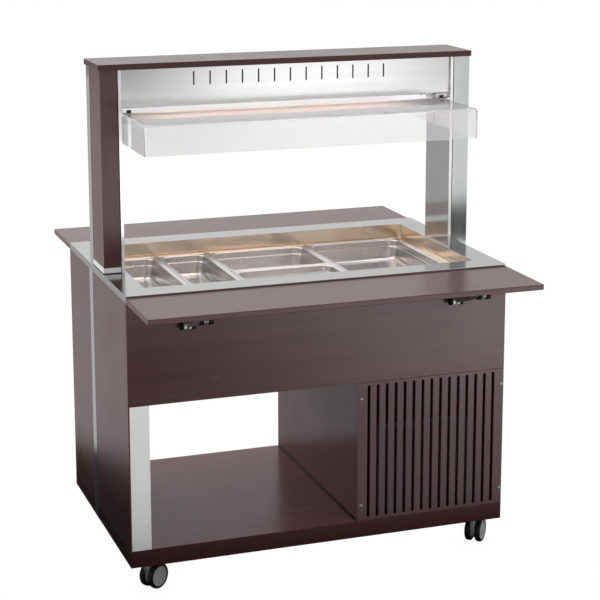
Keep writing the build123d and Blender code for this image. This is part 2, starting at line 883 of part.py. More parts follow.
# Brackets of the support arms: a plate on the apron with two cheeks, a pin and a black cap on each end
with BuildPart() as stay_plates:
    for face in faces_of_trolley.values():
        for side in sides.values():
            x = side * arm_x
            block(
                (x - bracket_half_width, face * half_depth, z_arm - bracket_half_height),
                (x + bracket_half_width, face * (half_depth + cheek_sheet), z_arm + bracket_half_height),
            )
            for way in (-1, 1):
                block(
                    (x + way * (arm_half - cheek_sheet), face * half_depth, z_arm - cheek_half_height),
                    (x + way * arm_half, face * (y_arm + cheek_past_pin), z_arm + cheek_half_height),
                )
            rod((x, face * y_arm, z_arm), "X", 2 * arm_half, arm_pin_radius, Mode.SUBTRACT)
with BuildPart() as stay_pins:
    for face in faces_of_trolley.values():
        for side in sides.values():
            rod((side * arm_x, face * y_arm, z_arm), "X", 2 * arm_half, arm_pin_radius)
with BuildPart() as stay_caps:
    for face in faces_of_trolley.values():
        for side in sides.values():
            for way in (-1, 1):
                x_cap = side * arm_x + way * (arm_half + roller_width / 2)
                rod((x_cap, face * y_arm, z_arm), "X", roller_width, roller_radius)
write_group("stay_brackets", stay_plates, stay_pins, stay_caps)

arm_length = hypot(y_roller - y_arm, z_roller - z_arm)
arm_tilt = degrees(atan2(z_roller - z_arm, y_roller - y_arm))


# Support arm: flat bar from its bracket up to the tray, with a roller on each side of its tip
def make_arm(label, face, side):
    x = side * arm_x
    with BuildPart() as bar:
        pivot = (x - arm_width / 2, face * y_arm, z_arm)
        with BuildSketch(Plane(pivot, x_dir=(0, face, 0), z_dir=(face, 0, 0))):
            with Locations(Location((0, 0, 0), (0, 0, arm_tilt))):
                with Locations((arm_length / 2, 0)):
                    Rectangle(arm_length, 2 * arm_half_height)
                with Locations((0, 0), (arm_length, 0)):
                    Circle(arm_end_radius)
                with Locations((0, 0)):
                    Circle(arm_pin_radius + running_fit, mode=Mode.SUBTRACT)
                with Locations((arm_length, 0)):
                    Circle(arm_pin_radius, mode=Mode.SUBTRACT)
        extrude(amount=face * arm_width)
    with BuildPart() as tip_pin:
        rod((x, face * y_roller, z_roller), "X", arm_width + 2 * arm_side_gap, arm_pin_radius)
    with BuildPart() as rollers:
        for way in (-1, 1):
            x_roller = x + way * (arm_width / 2 + arm_side_gap + roller_width / 2)
            rod((x_roller, face * y_roller, z_roller), "X", roller_width, roller_radius)
    write_group(label, bar, tip_pin, rollers)


for face_name, face in faces_of_trolley.items():
    for side_name, side in sides.items():
        make_arm(f"{face_name}_{side_name}_arm", face, side)

# Castor plates under the base, each with its kingpin and four bolt heads
z_plate = z_base - castor_plate_sheet
kingpin_length = hood_neck_height - hood_top_gap
with BuildPart() as castor_plates:
    with Locations((0, 0, z_base - castor_plate_sheet / 2)):
        with GridLocations(2 * castor_x, 2 * castor_y, 2, 2):
            Box(castor_plate, castor_plate, castor_plate_sheet)
    with Locations((0, 0, z_plate - kingpin_length / 2)):
        with GridLocations(2 * castor_x, 2 * castor_y, 2, 2):
            Cylinder(kingpin_radius, kingpin_length)
    with Locations((0, 0, z_plate - castor_bolt_head / 2)):
        with GridLocations(2 * castor_x, 2 * castor_y, 2, 2):
            with GridLocations(castor_bolt_spacing, castor_bolt_spacing, 2, 2):
                Cylinder(castor_bolt_radius, castor_bolt_head)
castor_plates.part.label = "castor_plates"
export_step(castor_plates.part, "parts/castor_plates.step")


# Castor: hood on the kingpin, and a pair of wheels on one axle behind the swivel line
def make_castor(label, x, y, heading):
    turn = radians(heading)
    ground = Plane((x, y, 0), x_dir=(cos(turn), sin(turn), 0), z_dir=(0, 0, 1))
    upright = Plane((x, y, 0), x_dir=(cos(turn), sin(turn), 0), z_dir=(sin(turn), -cos(turn), 0))
    hood_width = wheel_spacing - 2 * hood_side_gap
    z_neck = z_plate - hood_top_gap - hood_neck_height
    with BuildPart(ground) as hood:
        with BuildSketch(upright.offset(-hood_width / 2)):
            with Locations((castor_trail, wheel_radius)):
                Circle(hood_radius)
            with BuildLine():
                Polyline(
                    (-hood_neck_radius, z_neck + hood_neck_height / 2),
                    (hood_neck_radius, z_neck + hood_neck_height / 2),
                    (castor_trail + hood_radius, wheel_radius),
                    (castor_trail - hood_radius, wheel_radius),
                    close=True,
                )
            make_face()
        extrude(amount=hood_width)
        rod((0, 0, z_neck + hood_neck_height / 2), "Z", hood_neck_height, hood_neck_radius)
        bore_depth = hood_neck_height - hood_top_gap
        rod(
            (0, 0, z_neck + hood_neck_height - bore_depth / 2),
            "Z",
            bore_depth,
            kingpin_radius + running_fit,
            Mode.SUBTRACT,
        )
        rod(
            (castor_trail, 0, wheel_radius), "Y", hood_width, axle_radius + running_fit, Mode.SUBTRACT
        )
    hood.part.label = f"{label}_hood"
    export_step(hood.part, f"parts/{label}_hood.step")
    with BuildPart(ground) as tyres:
        for way in (-1, 1):
            y_tyre = way * (wheel_spacing + tyre_width) / 2
            rod((castor_trail, y_tyre, wheel_radius), "Y", tyre_width, wheel_radius)
        fillet(tyres.edges().filter_by(GeomType.CIRCLE), radius=tyre_round)
        rod(
            (castor_trail, 0, wheel_radius),
            "Y",
            wheel_spacing + 2 * tyre_width,
            rim_disc_radius,
            Mode.SUBTRACT,
        )
    with BuildPart(ground) as discs:
        disc_width = tyre_width - 2 * rim_disc_recess
        for way in (-1, 1):
            y_disc = way * (wheel_spacing + tyre_width) / 2
            rod((castor_trail, y_disc, wheel_radius), "Y", disc_width, rim_disc_radius)
        rod(
            (castor_trail, 0, wheel_radius), "Y", wheel_spacing + 2 * tyre_width, axle_radius, Mode.SUBTRACT
        )
    with BuildPart(ground) as axle:
        axle_length = wheel_spacing + 2 * (tyre_width - rim_disc_recess)
        rod((castor_trail, 0, wheel_radius), "Y", axle_length, axle_radius)
    write_group(f"{label}_wheels", tyres, discs, axle)


make_castor("front_left_castor", -castor_x, -castor_y, front_left_heading)
make_castor("front_right_castor", castor_x, -castor_y, front_right_heading)
make_castor("rear_left_castor", -castor_x, castor_y, rear_left_heading)
make_castor("rear_right_castor", castor_x, castor_y, rear_right_heading)

# Condenser: finned block behind the front grille
y_condenser = board + condenser_gap - half_depth
y_shroud = y_condenser + condenser_depth
x_condenser_low = condenser_x - condenser_length / 2
x_condenser_high = condenser_x + condenser_length / 2
z_condenser = z_bay + condenser_height
z_fan = z_bay + condenser_height / 2
with BuildPart() as condenser:
    block((x_condenser_low, y_condenser, z_bay), (x_condenser_high, y_shroud, z_condenser))
    fin_count = int((condenser_length - 2 * fin_border) / fin_pitch)
    for y_face in (y_condenser + fin_slot_depth / 2, y_shroud - fin_slot_depth / 2):
        with Locations((condenser_x, y_face, z_fan)):
            with GridLocations(fin_pitch, 0, fin_count, 1):
                Box(fin_slot, fin_slot_depth, condenser_height - 2 * fin_border, mode=Mode.SUBTRACT)
condenser.part.label = "condenser"
export_step(condenser.part, "parts/condenser.step")

# Fan shroud on the condenser, with the motor on a frame behind the fan
y_fan = y_shroud + shroud_sheet + fan_stand_off
y_motor = y_fan + fan_hub_length / 2 + motor_gap
with BuildPart() as fan_shroud:
    block((x_condenser_low, y_shroud, z_bay), (x_condenser_high, y_shroud + shroud_sheet, z_condenser))
    rod(
        (condenser_x, y_shroud + shroud_sheet / 2, z_fan), "Y", shroud_sheet, fan_hole_radius, Mode.SUBTRACT
    )
    for x in (x_condenser_low, x_condenser_high - motor_bar):
        block(
            (x, y_shroud, z_fan - motor_bar / 2),
            (x + motor_bar, y_motor + motor_bar, z_fan + motor_bar / 2),
        )
    block(
        (x_condenser_low, y_motor, z_fan - motor_bar / 2),
        (x_condenser_high, y_motor + motor_bar, z_fan + motor_bar / 2),
    )
    rod((condenser_x, y_motor + motor_length / 2, z_fan), "Y", motor_length, motor_radius)
    shaft_length = motor_gap + fan_hub_length
    rod((condenser_x, y_motor - shaft_length / 2, z_fan), "Y", shaft_length, fan_shaft_radius)
fan_shroud.part.label = "fan_shroud"
export_step(fan_shroud.part, "parts/fan_shroud.step")

# Fan blades on the motor shaft
with BuildPart() as fan_blades:
    rod((condenser_x, y_fan, z_fan), "Y", fan_hub_length, fan_hub_radius)
    blade_length = fan_radius - fan_hub_radius + blade_sheet
    with Locations(Location((condenser_x, y_fan, z_fan), (90, 0, 0))):
        with PolarLocations(fan_radius - blade_length / 2, blade_count):
            Box(blade_length, blade_chord, blade_sheet, rotation=(blade_pitch_angle, 0, 0))
    rod((condenser_x, y_fan, z_fan), "Y", fan_hub_length, fan_shaft_radius + running_fit, Mode.SUBTRACT)
fan_blades.part.label = "fan_blades"
export_step(fan_blades.part, "parts/fan_blades.step")

# Compressor: domed steel shell on a foot plate with four rubber grommets
with BuildPart() as compressor:
    z_foot_plate = z_bay + grommet_height
    z_shell = z_foot_plate + foot_plate
    rod(
        (compressor_x, compressor_y, z_shell + compressor_height / 2),
        "Z",
        compressor_height,
        compressor_radius,
    )
    rings = compressor.edges().filter_by(GeomType.CIRCLE).sort_by(Axis.Z)
    fillet(rings[-1], radius=compressor_dome)
    with Locations((compressor_x, compressor_y, z_foot_plate + foot_plate / 2)):
        Box(foot_length, foot_width, foot_plate)
    with Locations((compressor_x, compressor_y, z_bay + grommet_height / 2)):
        with GridLocations(foot_length - compressor_foot, foot_width - compressor_foot, 2, 2):
            Cylinder(grommet_radius, grommet_height)
    with Locations((compressor_x - compressor_radius, compressor_y, z_shell + compressor_height / 2)):
        Box(terminal_box, terminal_box, terminal_box)
    for shift in (-stub_offset, stub_offset):
        rod(
            (compressor_x, compressor_y + shift, z_shell + compressor_height - stub_sink + stub_height / 2),
            "Z",
            stub_height,
            stub_radius,
        )
compressor.part.label = "compressor"
export_step(compressor.part, "parts/compressor.step")

# Control panel on the rear apron: plate with the switch box behind it
y_plate = half_depth + panel_sheet
with BuildPart() as control_panel:
    block(
        (panel_x - panel_length / 2, half_depth, z_panel - panel_height / 2),
        (panel_x + panel_length / 2, y_plate, z_panel + panel_height / 2),
    )
    fillet(control_panel.edges().filter_by(Axis.Y), radius=panel_corner)
    half_switch = switch_length / 2 + switch_wall
    block(
        (x_switch - half_switch, half_depth - switch_depth, z_panel - switch_height / 2 - switch_wall),
        (x_switch + half_switch, half_depth, z_panel + switch_height / 2 + switch_wall),
    )
    block(
        (x_switch - switch_length / 2, half_depth + switch_wall - switch_depth, z_panel - switch_height / 2),
        (x_switch + switch_length / 2, y_plate, z_panel + switch_height / 2),
        Mode.SUBTRACT,
    )
    rod(
        (x_switch, half_depth - rocker_pivot_depth, z_panel),
        "X",
        switch_length + 2 * rocker_pin,
        rocker_pin_radius + running_fit,
        Mode.SUBTRACT,
    )
    rod(
        (x_knob, half_depth + panel_sheet / 2, z_panel),
        "Y",
        panel_sheet,
        knob_shaft_radius + running_fit,
        Mode.SUBTRACT,
    )
control_panel.part.label = "control_panel"
export_step(control_panel.part, "parts/control_panel.step")

# Rocker of the mains switch, on two pivot stubs
with BuildPart() as power_switch:
    half_rocker = switch_length / 2 - rocker_side_gap
    with BuildSketch(Plane.YZ.offset(x_switch - half_rocker)):
        with BuildLine():
            Polyline(
                (half_depth - rocker_root, z_panel - rocker_root_half),
                (y_plate + rocker_proud - panel_sheet, z_panel - rocker_half_height),
                (y_plate + rocker_proud - panel_sheet - rocker_dish, z_panel),
                (y_plate + rocker_proud - panel_sheet, z_panel + rocker_half_height),
                (half_depth - rocker_root, z_panel + rocker_root_half),
                close=True,
            )
        make_face()
    extrude(amount=2 * half_rocker)
    rod(
        (x_switch, half_depth - rocker_pivot_depth, z_panel),
        "X",
        switch_length + 2 * rocker_pin - 2 * rocker_side_gap,
        rocker_pin_radius,
    )
power_switch.part.label = "power_switch"
export_step(power_switch.part, "parts/power_switch.step")

# Thermostat knob with its pointer ridge and shaft
with BuildPart() as thermostat_knob:
    y_knob = y_plate + knob_gap
    rod((x_knob, y_knob + knob_height / 2, z_panel), "Y", knob_height, knob_radius)
    fillet(
        thermostat_knob.edges().filter_by(GeomType.CIRCLE).sort_by(Axis.Y)[-1], radius=knob_round
    )
    block(
        (x_knob - knob_ridge / 2, y_knob + knob_height, z_panel - knob_radius / 2),
        (x_knob + knob_ridge / 2, y_knob + knob_height + knob_ridge / 2, z_panel + knob_radius - knob_ridge),
    )
    rod((x_knob, y_knob - knob_shaft / 2, z_panel), "Y", knob_shaft, knob_shaft_radius)
thermostat_knob.part.label = "thermostat_knob"
export_step(thermostat_knob.part, "parts/thermostat_knob.step")

# Power inlet in the rear apron: flange, socket and three pins
with BuildPart() as power_inlet:
    with Locations((inlet_x, half_depth + panel_sheet / 2, z_inlet)):
        Box(inlet_flange_length, panel_sheet, inlet_flange_height)
    fillet(power_inlet.edges().filter_by(Axis.Y), radius=panel_corner)
    block(
        (inlet_x - inlet_length / 2, half_depth - inlet_depth, z_inlet - inlet_height / 2),
        (inlet_x + inlet_length / 2, half_depth, z_inlet + inlet_height / 2),
    )
    half_socket = inlet_length / 2 - inlet_wall
    half_socket_height = inlet_height / 2 - inlet_wall
    block(
        (inlet_x - half_socket, y_plate - inlet_socket, z_inlet - half_socket_height),
        (inlet_x + half_socket, y_plate, z_inlet + half_socket_height),
        Mode.SUBTRACT,
    )
    for step, rise in ((-1, -inlet_pin_rise), (0, inlet_pin_rise), (1, -inlet_pin_rise)):
        x_pin = inlet_x + step * inlet_pin_spacing
        with Locations((x_pin, y_plate - inlet_socket + inlet_pin / 2, z_inlet + rise)):
            Box(inlet_pin_width, inlet_pin, inlet_pin_height)
power_inlet.part.label = "power_inlet"
export_step(power_inlet.part, "parts/power_inlet.step")
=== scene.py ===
import math
import bmesh
import bpy
from mathutils import Matrix, Vector


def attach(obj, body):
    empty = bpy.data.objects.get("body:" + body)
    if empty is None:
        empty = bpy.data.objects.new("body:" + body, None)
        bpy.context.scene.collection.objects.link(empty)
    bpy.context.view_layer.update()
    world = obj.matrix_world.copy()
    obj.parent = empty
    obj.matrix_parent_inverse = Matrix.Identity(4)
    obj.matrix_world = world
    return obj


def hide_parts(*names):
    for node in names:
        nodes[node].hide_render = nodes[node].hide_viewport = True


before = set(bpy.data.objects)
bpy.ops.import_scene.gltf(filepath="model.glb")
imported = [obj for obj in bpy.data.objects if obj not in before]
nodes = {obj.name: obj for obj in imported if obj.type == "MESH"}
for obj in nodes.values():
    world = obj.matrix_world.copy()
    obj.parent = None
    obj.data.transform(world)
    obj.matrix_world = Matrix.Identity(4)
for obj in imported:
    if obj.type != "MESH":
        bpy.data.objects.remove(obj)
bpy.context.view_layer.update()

print("frame loaded:", len(nodes), "nodes")


# shader helpers

def feed(tree, node, ins):
    for key, value in ins.items():
        if isinstance(value, bpy.types.NodeSocket):
            tree.links.new(value, node.inputs[key])
        else:
            node.inputs[key].default_value = value


def put(tree, kind, ins=None, **settings):
    node = tree.nodes.new("ShaderNode" + kind)
    for key, value in settings.items():
        setattr(node, key, value)
    feed(tree, node, ins or {})
    return node


def math2(tree, operation, a, b):
    return put(tree, "Math", {0: a, 1: b}, operation=operation).outputs[0]


def times(tree, a, b):
    return math2(tree, "MULTIPLY", a, b)


def mapRange(tree, value, low, high, toLow=0, toHigh=1, kind="LINEAR"):
    ins = {"Value": value, "From Min": low, "From Max": high, "To Min": toLow, "To Max": toHigh}
    return put(tree, "MapRange", ins, interpolation_type=kind).outputs["Result"]


def ease(tree, value, low, high, toLow=0, toHigh=1):
    return mapRange(tree, value, low, high, toLow, toHigh, "SMOOTHSTEP")


def blendColour(tree, factor, a, b, kind="MIX"):
    return put(tree, "Mix", {0: factor, 6: a, 7: b}, data_type="RGBA", blend_type=kind).outputs[2]


def blendValue(tree, factor, a, b):
    return put(tree, "Mix", {0: factor, 2: a, 3: b}).outputs[0]


def noise(tree, place, scale, detail, rough=0.5):
    ins = {"Vector": place, "Scale": scale, "Detail": detail, "Roughness": rough}
    return put(tree, "TexNoise", ins).outputs[0]


def stretchedNoise(tree, place, scale, detail):
    mapping = put(tree, "Mapping", {"Vector": place, "Scale": scale})
    return noise(tree, mapping.outputs[0], 1.0, detail, 0.55)


def splitUp(tree, vector):
    return put(tree, "SeparateXYZ", {0: vector}).outputs


def objectPlace(tree):
    return put(tree, "TexCoord").outputs["Object"]


def newGroup(name, ins, outs):
    tree = bpy.data.node_groups.new(name, "ShaderNodeTree")
    for label, kind, value in ins:
        socket = tree.interface.new_socket(label, in_out="INPUT", socket_type="NodeSocket" + kind)
        if value is not None:
            socket.default_value = value
    for label, kind in outs:
        tree.interface.new_socket(label, in_out="OUTPUT", socket_type="NodeSocket" + kind)
    return tree, tree.nodes.new("NodeGroupInput").outputs, tree.nodes.new("NodeGroupOutput")


def useGroup(tree, group, ins):
    node = tree.nodes.new("ShaderNodeGroup")
    node.node_tree = group
    feed(tree, node, ins)
    return node.outputs


# sockets that the grain and the brushed metal share
toneInputs = [
    ("place", "Vector", None), ("darkTone", "Color", (0.1, 0.1, 0.1, 1)),
    ("lightTone", "Color", (0.6, 0.6, 0.6, 1)), ("smooth", "Float", 0.2), ("rough", "Float", 0.3),
]
toneOutputs = [("colour", "Color"), ("roughness", "Float"), ("height", "Float")]

# laminate grain along local X: broad bands, fine streaks and short pores
grainLook = {
    "bands": (0.8, 34, 34), "streaks": (4, 330, 330), "streakShare": 0.5, "contrast": (0.3, 0.7),
    "pores": (26, 1300, 1300), "poreEdge": (0.6, 0.7), "poreDepth": 0.35, "relief": 0.5,
}


def makeLaminateGrain():
    look = grainLook
    tree, source, sink = newGroup("laminateGrain", toneInputs, toneOutputs)
    place, dark = source["place"], source["darkTone"]
    bands = stretchedNoise(tree, place, look["bands"], 3)
    streaks = stretchedNoise(tree, place, look["streaks"], 4)
    pores = mapRange(tree, stretchedNoise(tree, place, look["pores"], 1), *look["poreEdge"])
    tone = mapRange(tree, blendValue(tree, look["streakShare"], bands, streaks), *look["contrast"])
    colour = blendColour(tree, tone, dark, source["lightTone"])
    feed(tree, sink, {
        "colour": blendColour(tree, times(tree, pores, look["poreDepth"]), colour, dark),
        "roughness": blendValue(tree, streaks, source["smooth"], source["rough"]),
        "height": times(tree, math2(tree, "SUBTRACT", streaks, pores), look["relief"])})
    return tree


# brushed metal along local X
brushLook = {"fine": (6, 1400, 1400), "broad": (1.1, 42, 42), "fineShare": 0.45, "contrast": (0.3, 0.7)}


def makeBrushed():
    look = brushLook
    tree, source, sink = newGroup("brushedMetal", toneInputs, toneOutputs)
    fine = stretchedNoise(tree, source["place"], look["fine"], 3)
    broad = stretchedNoise(tree, source["place"], look["broad"], 4)
    tone = mapRange(tree, blendValue(tree, look["fineShare"], broad, fine), *look["contrast"])
    feed(tree, sink, {
        "colour": blendColour(tree, tone, source["darkTone"], source["lightTone"]),
        "roughness": blendValue(tree, tone, source["rough"], source["smooth"]), "height": fine})
    return tree


# wiped smudges and dust: a mask of soft patches and specks
smudgeLook = {"rough": 0.6, "patchEdge": (0.38, 0.8), "speckScale": 420.0, "speckEdge": (0.04, 0.12, 1, 0)}


def makeSmudges():
    look = smudgeLook
    tree, source, sink = newGroup(
        "smudges", [("place", "Vector", None), ("size", "Float", 9.0)],
        [("mask", "Float"), ("specks", "Float")])
    place = source["place"]
    patches = noise(tree, place, source["size"], 4.0, look["rough"])
    dots = put(tree, "TexVoronoi", {"Vector": place, "Scale": look["speckScale"]}).outputs["Distance"]
    feed(tree, sink, {
        "mask": ease(tree, patches, *look["patchEdge"]),
        "specks": times(tree, mapRange(tree, dots, *look["speckEdge"]), patches)})
    return tree


# worn edges and a painted edge highlight, from a rounded normal, with that normal as well
wearAndHighlightLook = {"breakScale": 60.0, "breakEdge": (0.4, 0.65), "edge": (0.98, 0.8)}


def makeEdgeWearAndHighlight():
    look = wearAndHighlightLook
    tree, source, sink = newGroup(
        "edgeWearAndHighlight", [("place", "Vector", None), ("reach", "Float", 0.001)],
        [("mask", "Float"), ("normal", "Vector")])
    rounded = put(tree, "Bevel", {"Radius": source["reach"]}, samples=4).outputs[0]
    flat = put(tree, "NewGeometry").outputs["Normal"]
    dot = put(tree, "VectorMath", {0: rounded, 1: flat}, operation="DOT_PRODUCT").outputs["Value"]
    breaks = mapRange(tree, noise(tree, source["place"], look["breakScale"], 3.0), *look["breakEdge"])
    feed(tree, sink, {"mask": times(tree, mapRange(tree, dot, *look["edge"]), breaks), "normal": rounded})
    return tree


laminateGrain = makeLaminateGrain()
brushedMetal = makeBrushed()
smudges = makeSmudges()
edgeWearAndHighlight = makeEdgeWearAndHighlight()
turns = {"x": (0, 0, 0), "y": (0, 0, math.pi / 2), "z": (0, math.pi / 2, 0)}  # turns that lay an axis along X


def newMaterial(name, constants):
    material = bpy.data.materials.new(name)
    material.use_nodes = True
    tree = material.node_tree
    shader = tree.nodes["Principled BSDF"]
    feed(tree, shader, constants)
    return material, tree, shader


def placeAlong(tree, axis, shift=(0, 0, 0)):
    ins = {"Vector": objectPlace(tree), "Rotation": turns[axis], "Location": shift}
    return put(tree, "Mapping", ins).outputs[0]


def addBump(tree, shader, height, strength, distance, normal=None):
    ins = {"Height": height, "Strength": strength, "Distance": distance}
    if normal is not None:
        ins["Normal"] = normal
    feed(tree, shader, {"Normal": put(tree, "Bump", ins).outputs[0]})


laminateLook = {
    "darkTone": (0.056, 0.0165, 0.0185), "lightTone": (0.094, 0.0340, 0.0360), "smooth": 0.17, "rough": 0.27,
    "wearAndHighlightTone": (0.13, 0.075, 0.075, 1), "wearAndHighlightReach": 0.0012, "wearAndHighlightShare": 0.5, "grimeSize": 6.0,
    "grimeRough": 0.05, "bump": 0.10, "depth": 0.0004, "shelfEdge": (0.0006, 0.0003),
}


# painted light and shade: the shade argument makes lighter and darker copies of the one laminate, standing in
# for how light falls on each board
def laminate(name, axis, shift=(0, 0, 0), shade=1.0, gloss=0.5, shelf=None, sheen=(1, 1, 1, 1)):
    look = laminateLook
    material, tree, shader = newMaterial(name, {
        "Metallic": 0.0, "IOR": 1.5, "Specular IOR Level": gloss, "Specular Tint": sheen})
    place = placeAlong(tree, axis, shift)
    dark, light = [tuple(c * shade for c in look[key]) + (1,) for key in ("darkTone", "lightTone")]
    grain = useGroup(tree, laminateGrain, {
        "place": place, "darkTone": dark, "lightTone": light,
        "smooth": look["smooth"], "rough": look["rough"]})
    wearAndHighlight = useGroup(tree, edgeWearAndHighlight, {"place": place, "reach": look["wearAndHighlightReach"]})
    grime = useGroup(tree, smudges, {"place": place, "size": look["grimeSize"]})
    # worn edges and a painted edge highlight: edges take a lighter tone
    worn = times(tree, wearAndHighlight["mask"], look["wearAndHighlightShare"])
    colour = blendColour(tree, worn, grain["colour"], look["wearAndHighlightTone"])
    if shelf:  # painted light: a lighter tone above the given height, for the top of the bay's floor
        height, lightness = shelf
        start, end = [height - below for below in look["shelfEdge"]]
        lighter = blendColour(tree, 1.0, colour, (lightness, lightness, lightness, 1), "MULTIPLY")
        above = mapRange(tree, splitUp(tree, objectPlace(tree))["Z"], start, end)
        colour = blendColour(tree, above, colour, lighter)
    rough = math2(tree, "ADD", grain["roughness"], times(tree, grime["mask"], look["grimeRough"]))
    feed(tree, shader, {"Base Color": colour, "Roughness": rough})
    addBump(tree, shader, grain["height"], look["bump"], look["depth"], wearAndHighlight["normal"])
    return material


metalLook = {"speckShare": 0.3, "depth": 0.0002}


def metal(name, axis, dark, light, smooth, rough, bump=0.05, reach=0.0008, metallic=1.0, grimeSize=7.0,
          grimeRough=0.04, edge=None):
    material, tree, shader = newMaterial(name, {"Metallic": metallic})
    place = placeAlong(tree, axis)
    brush = useGroup(tree, brushedMetal, {
        "place": place, "darkTone": dark + (1,), "lightTone": light + (1,), "smooth": smooth, "rough": rough})
    wearAndHighlight = useGroup(tree, edgeWearAndHighlight, {"place": place, "reach": reach})
    grime = useGroup(tree, smudges, {"place": place, "size": grimeSize})
    specks = times(tree, grime["specks"], metalLook["speckShare"])
    colour = blendColour(tree, specks, brush["colour"], dark + (1,))
    if edge:  # another tone past a place on one axis: a painted highlight on the post covers' lips, a painted shadow line along the post carriers' seam, and a lighter, less metallic band along the lamp housing's foot
        way, start, end, tone, share = edge
        across = splitUp(tree, objectPlace(tree))[way]
        mask = mapRange(tree, math2(tree, "ABSOLUTE", across, 0), start, end)
        colour = blendColour(tree, mask, colour, (tone, tone, tone, 1))
        feed(tree, shader, {"Metallic": mapRange(tree, mask, 0, 1, metallic, share)})
    worn = math2(tree, "ADD", brush["roughness"], times(tree, grime["mask"], grimeRough))
    feed(tree, shader, {"Base Color": colour, "Roughness": worn})
    addBump(tree, shader, brush["height"], bump, metalLook["depth"], wearAndHighlight["normal"])
    return material


plasticLook = {
    "wearAndHighlightShare": 0.6, "grimeShare": 0.25, "grimeSize": 14.0, "contrast": (0.3, 0.7), "depth": 0.0002,
}


def plastic(name, dark, light, smooth, rough, grainSize=900.0, bump=0.06, reach=0.0008, gloss=0.5):
    look = plasticLook
    material, tree, shader = newMaterial(name, {"Metallic": 0.0, "Specular IOR Level": gloss})
    place = placeAlong(tree, "x")
    fine = noise(tree, place, grainSize, 2.0)
    wearAndHighlight = useGroup(tree, edgeWearAndHighlight, {"place": place, "reach": reach})
    grime = useGroup(tree, smudges, {"place": place, "size": look["grimeSize"]})
    # worn edges, a painted edge highlight and dust patches take the lighter tone
    worn = times(tree, wearAndHighlight["mask"], look["wearAndHighlightShare"])
    mask = math2(tree, "MAXIMUM", worn, times(tree, grime["mask"], look["grimeShare"]))
    feed(tree, shader, {
        "Base Color": blendColour(tree, mask, dark + (1,), light + (1,)),
        "Roughness": mapRange(tree, fine, *look["contrast"], smooth, rough)})
    addBump(tree, shader, fine, bump, look["depth"], wearAndHighlight["normal"])
    return material


# clear sheet that lets lamp light through to what is under it
acrylicLook = {
    "leftShadedTone": (0.78, 0.78, 0.772, 1), "middleTone": (0.888, 0.89, 0.886, 1), "leftPart": (-0.5, 0.0),
    "rightShadedTone": (0.868, 0.868, 0.865, 1), "rightPart": (0.2, 0.48), "haze": (0.015, 0.06), "grimeSize": 11.0,
    "waves": (3, 9, 9), "bump": 0.002, "depth": 0.001, "letThrough": (0.96, 0.98, 0.98, 1),
}


def makeAcrylic():
    look = acrylicLook
    material, tree, shader = newMaterial("clearAcrylic", {
        "Metallic": 0.0, "IOR": 1.16, "Transmission Weight": 0.82,
        "Coat Weight": 0.9, "Coat Roughness": 0.12, "Coat IOR": 1.45})
    place = placeAlong(tree, "x")
    along = splitUp(tree, place)["X"]
    # painted shade: the sheet's tone is darker towards its left end and a little darker towards its right end
    tone = blendColour(tree, ease(tree, along, *look["leftPart"]), look["leftShadedTone"], look["middleTone"])
    tone = blendColour(tree, ease(tree, along, *look["rightPart"]), tone, look["rightShadedTone"])
    grime = useGroup(tree, smudges, {"place": place, "size": look["grimeSize"]})
    feed(tree, shader, {"Base Color": tone, "Roughness": mapRange(tree, grime["mask"], 0, 1, *look["haze"])})
    addBump(tree, shader, stretchedNoise(tree, place, look["waves"], 2), look["bump"], look["depth"])
    clear = put(tree, "BsdfTransparent", {"Color": look["letThrough"]}).outputs[0]
    shadowRay = put(tree, "LightPath").outputs["Is Shadow Ray"]
    mix = put(tree, "MixShader", {0: shadowRay, 1: shader.outputs[0], 2: clear})
    feed(tree, tree.nodes["Material Output"], {"Surface": mix.outputs[0]})
    return material


# warm lamp glass, a little dimmer towards the ends of the tube
lampGlassLook = {
    "endTone": (0.55, 0.28, 0.18, 1), "tone": (1.0, 0.64, 0.48, 1), "ends": (0.34, 0.42, 1, 0.35),
    "strength": 9.5, "grimeSize": 20.0, "roughness": (0.1, 0.25),
}


def makeLampGlass():
    look = lampGlassLook
    material, tree, shader = newMaterial("lampGlass", {
        "Base Color": (1, 0.96, 0.9, 1), "Metallic": 0.0, "Emission Strength": look["strength"]})
    place = placeAlong(tree, "x")
    along = math2(tree, "ABSOLUTE", splitUp(tree, place)["X"], 0)
    glow = blendColour(tree, ease(tree, along, *look["ends"]), look["endTone"], look["tone"])
    grime = useGroup(tree, smudges, {"place": place, "size": look["grimeSize"]})
    rough = mapRange(tree, grime["mask"], 0, 1, *look["roughness"])
    feed(tree, shader, {"Emission Color": glow, "Roughness": rough})
    return material


# condenser fins: painted shade in close dark gaps between bright edges
finLook = {
    "gapShadeTone": (0.22, 0.22, 0.22, 1), "edgeTone": (0.6, 0.61, 0.62, 1), "dustTone": (0.3, 0.27, 0.23, 1),
    "dustShare": 0.4, "grimeSize": 12.0, "roughness": (0.3, 0.55), "bump": 0.2, "depth": 0.001,
}


def makeFins():
    look = finLook
    material, tree, shader = newMaterial("condenserFins", {"Metallic": 0.9})
    place = placeAlong(tree, "x")
    ins = {"Vector": place, "Scale": 160.0, "Distortion": 0.6, "Detail": 2.0}
    wave = put(tree, "TexWave", ins).outputs["Fac"]
    grime = useGroup(tree, smudges, {"place": place, "size": look["grimeSize"]})
    # painted shade: the dark stripes stand in for the shaded gaps between fins
    colour = blendColour(tree, wave, look["gapShadeTone"], look["edgeTone"])
    colour = blendColour(tree, times(tree, grime["mask"], look["dustShare"]), colour, look["dustTone"])
    rough = mapRange(tree, grime["mask"], 0, 1, *look["roughness"])
    feed(tree, shader, {"Base Color": colour, "Roughness": rough})
    addBump(tree, shader, wave, look["bump"], look["depth"])
    return material


foamLook = {
    "darkTone": (0.62, 0.55, 0.36, 1), "lightTone": (0.76, 0.7, 0.5, 1), "cells": 380.0, "patches": 8.0,
    "roughness": (0.95, 0.8), "bump": 0.5, "depth": 0.001,
}


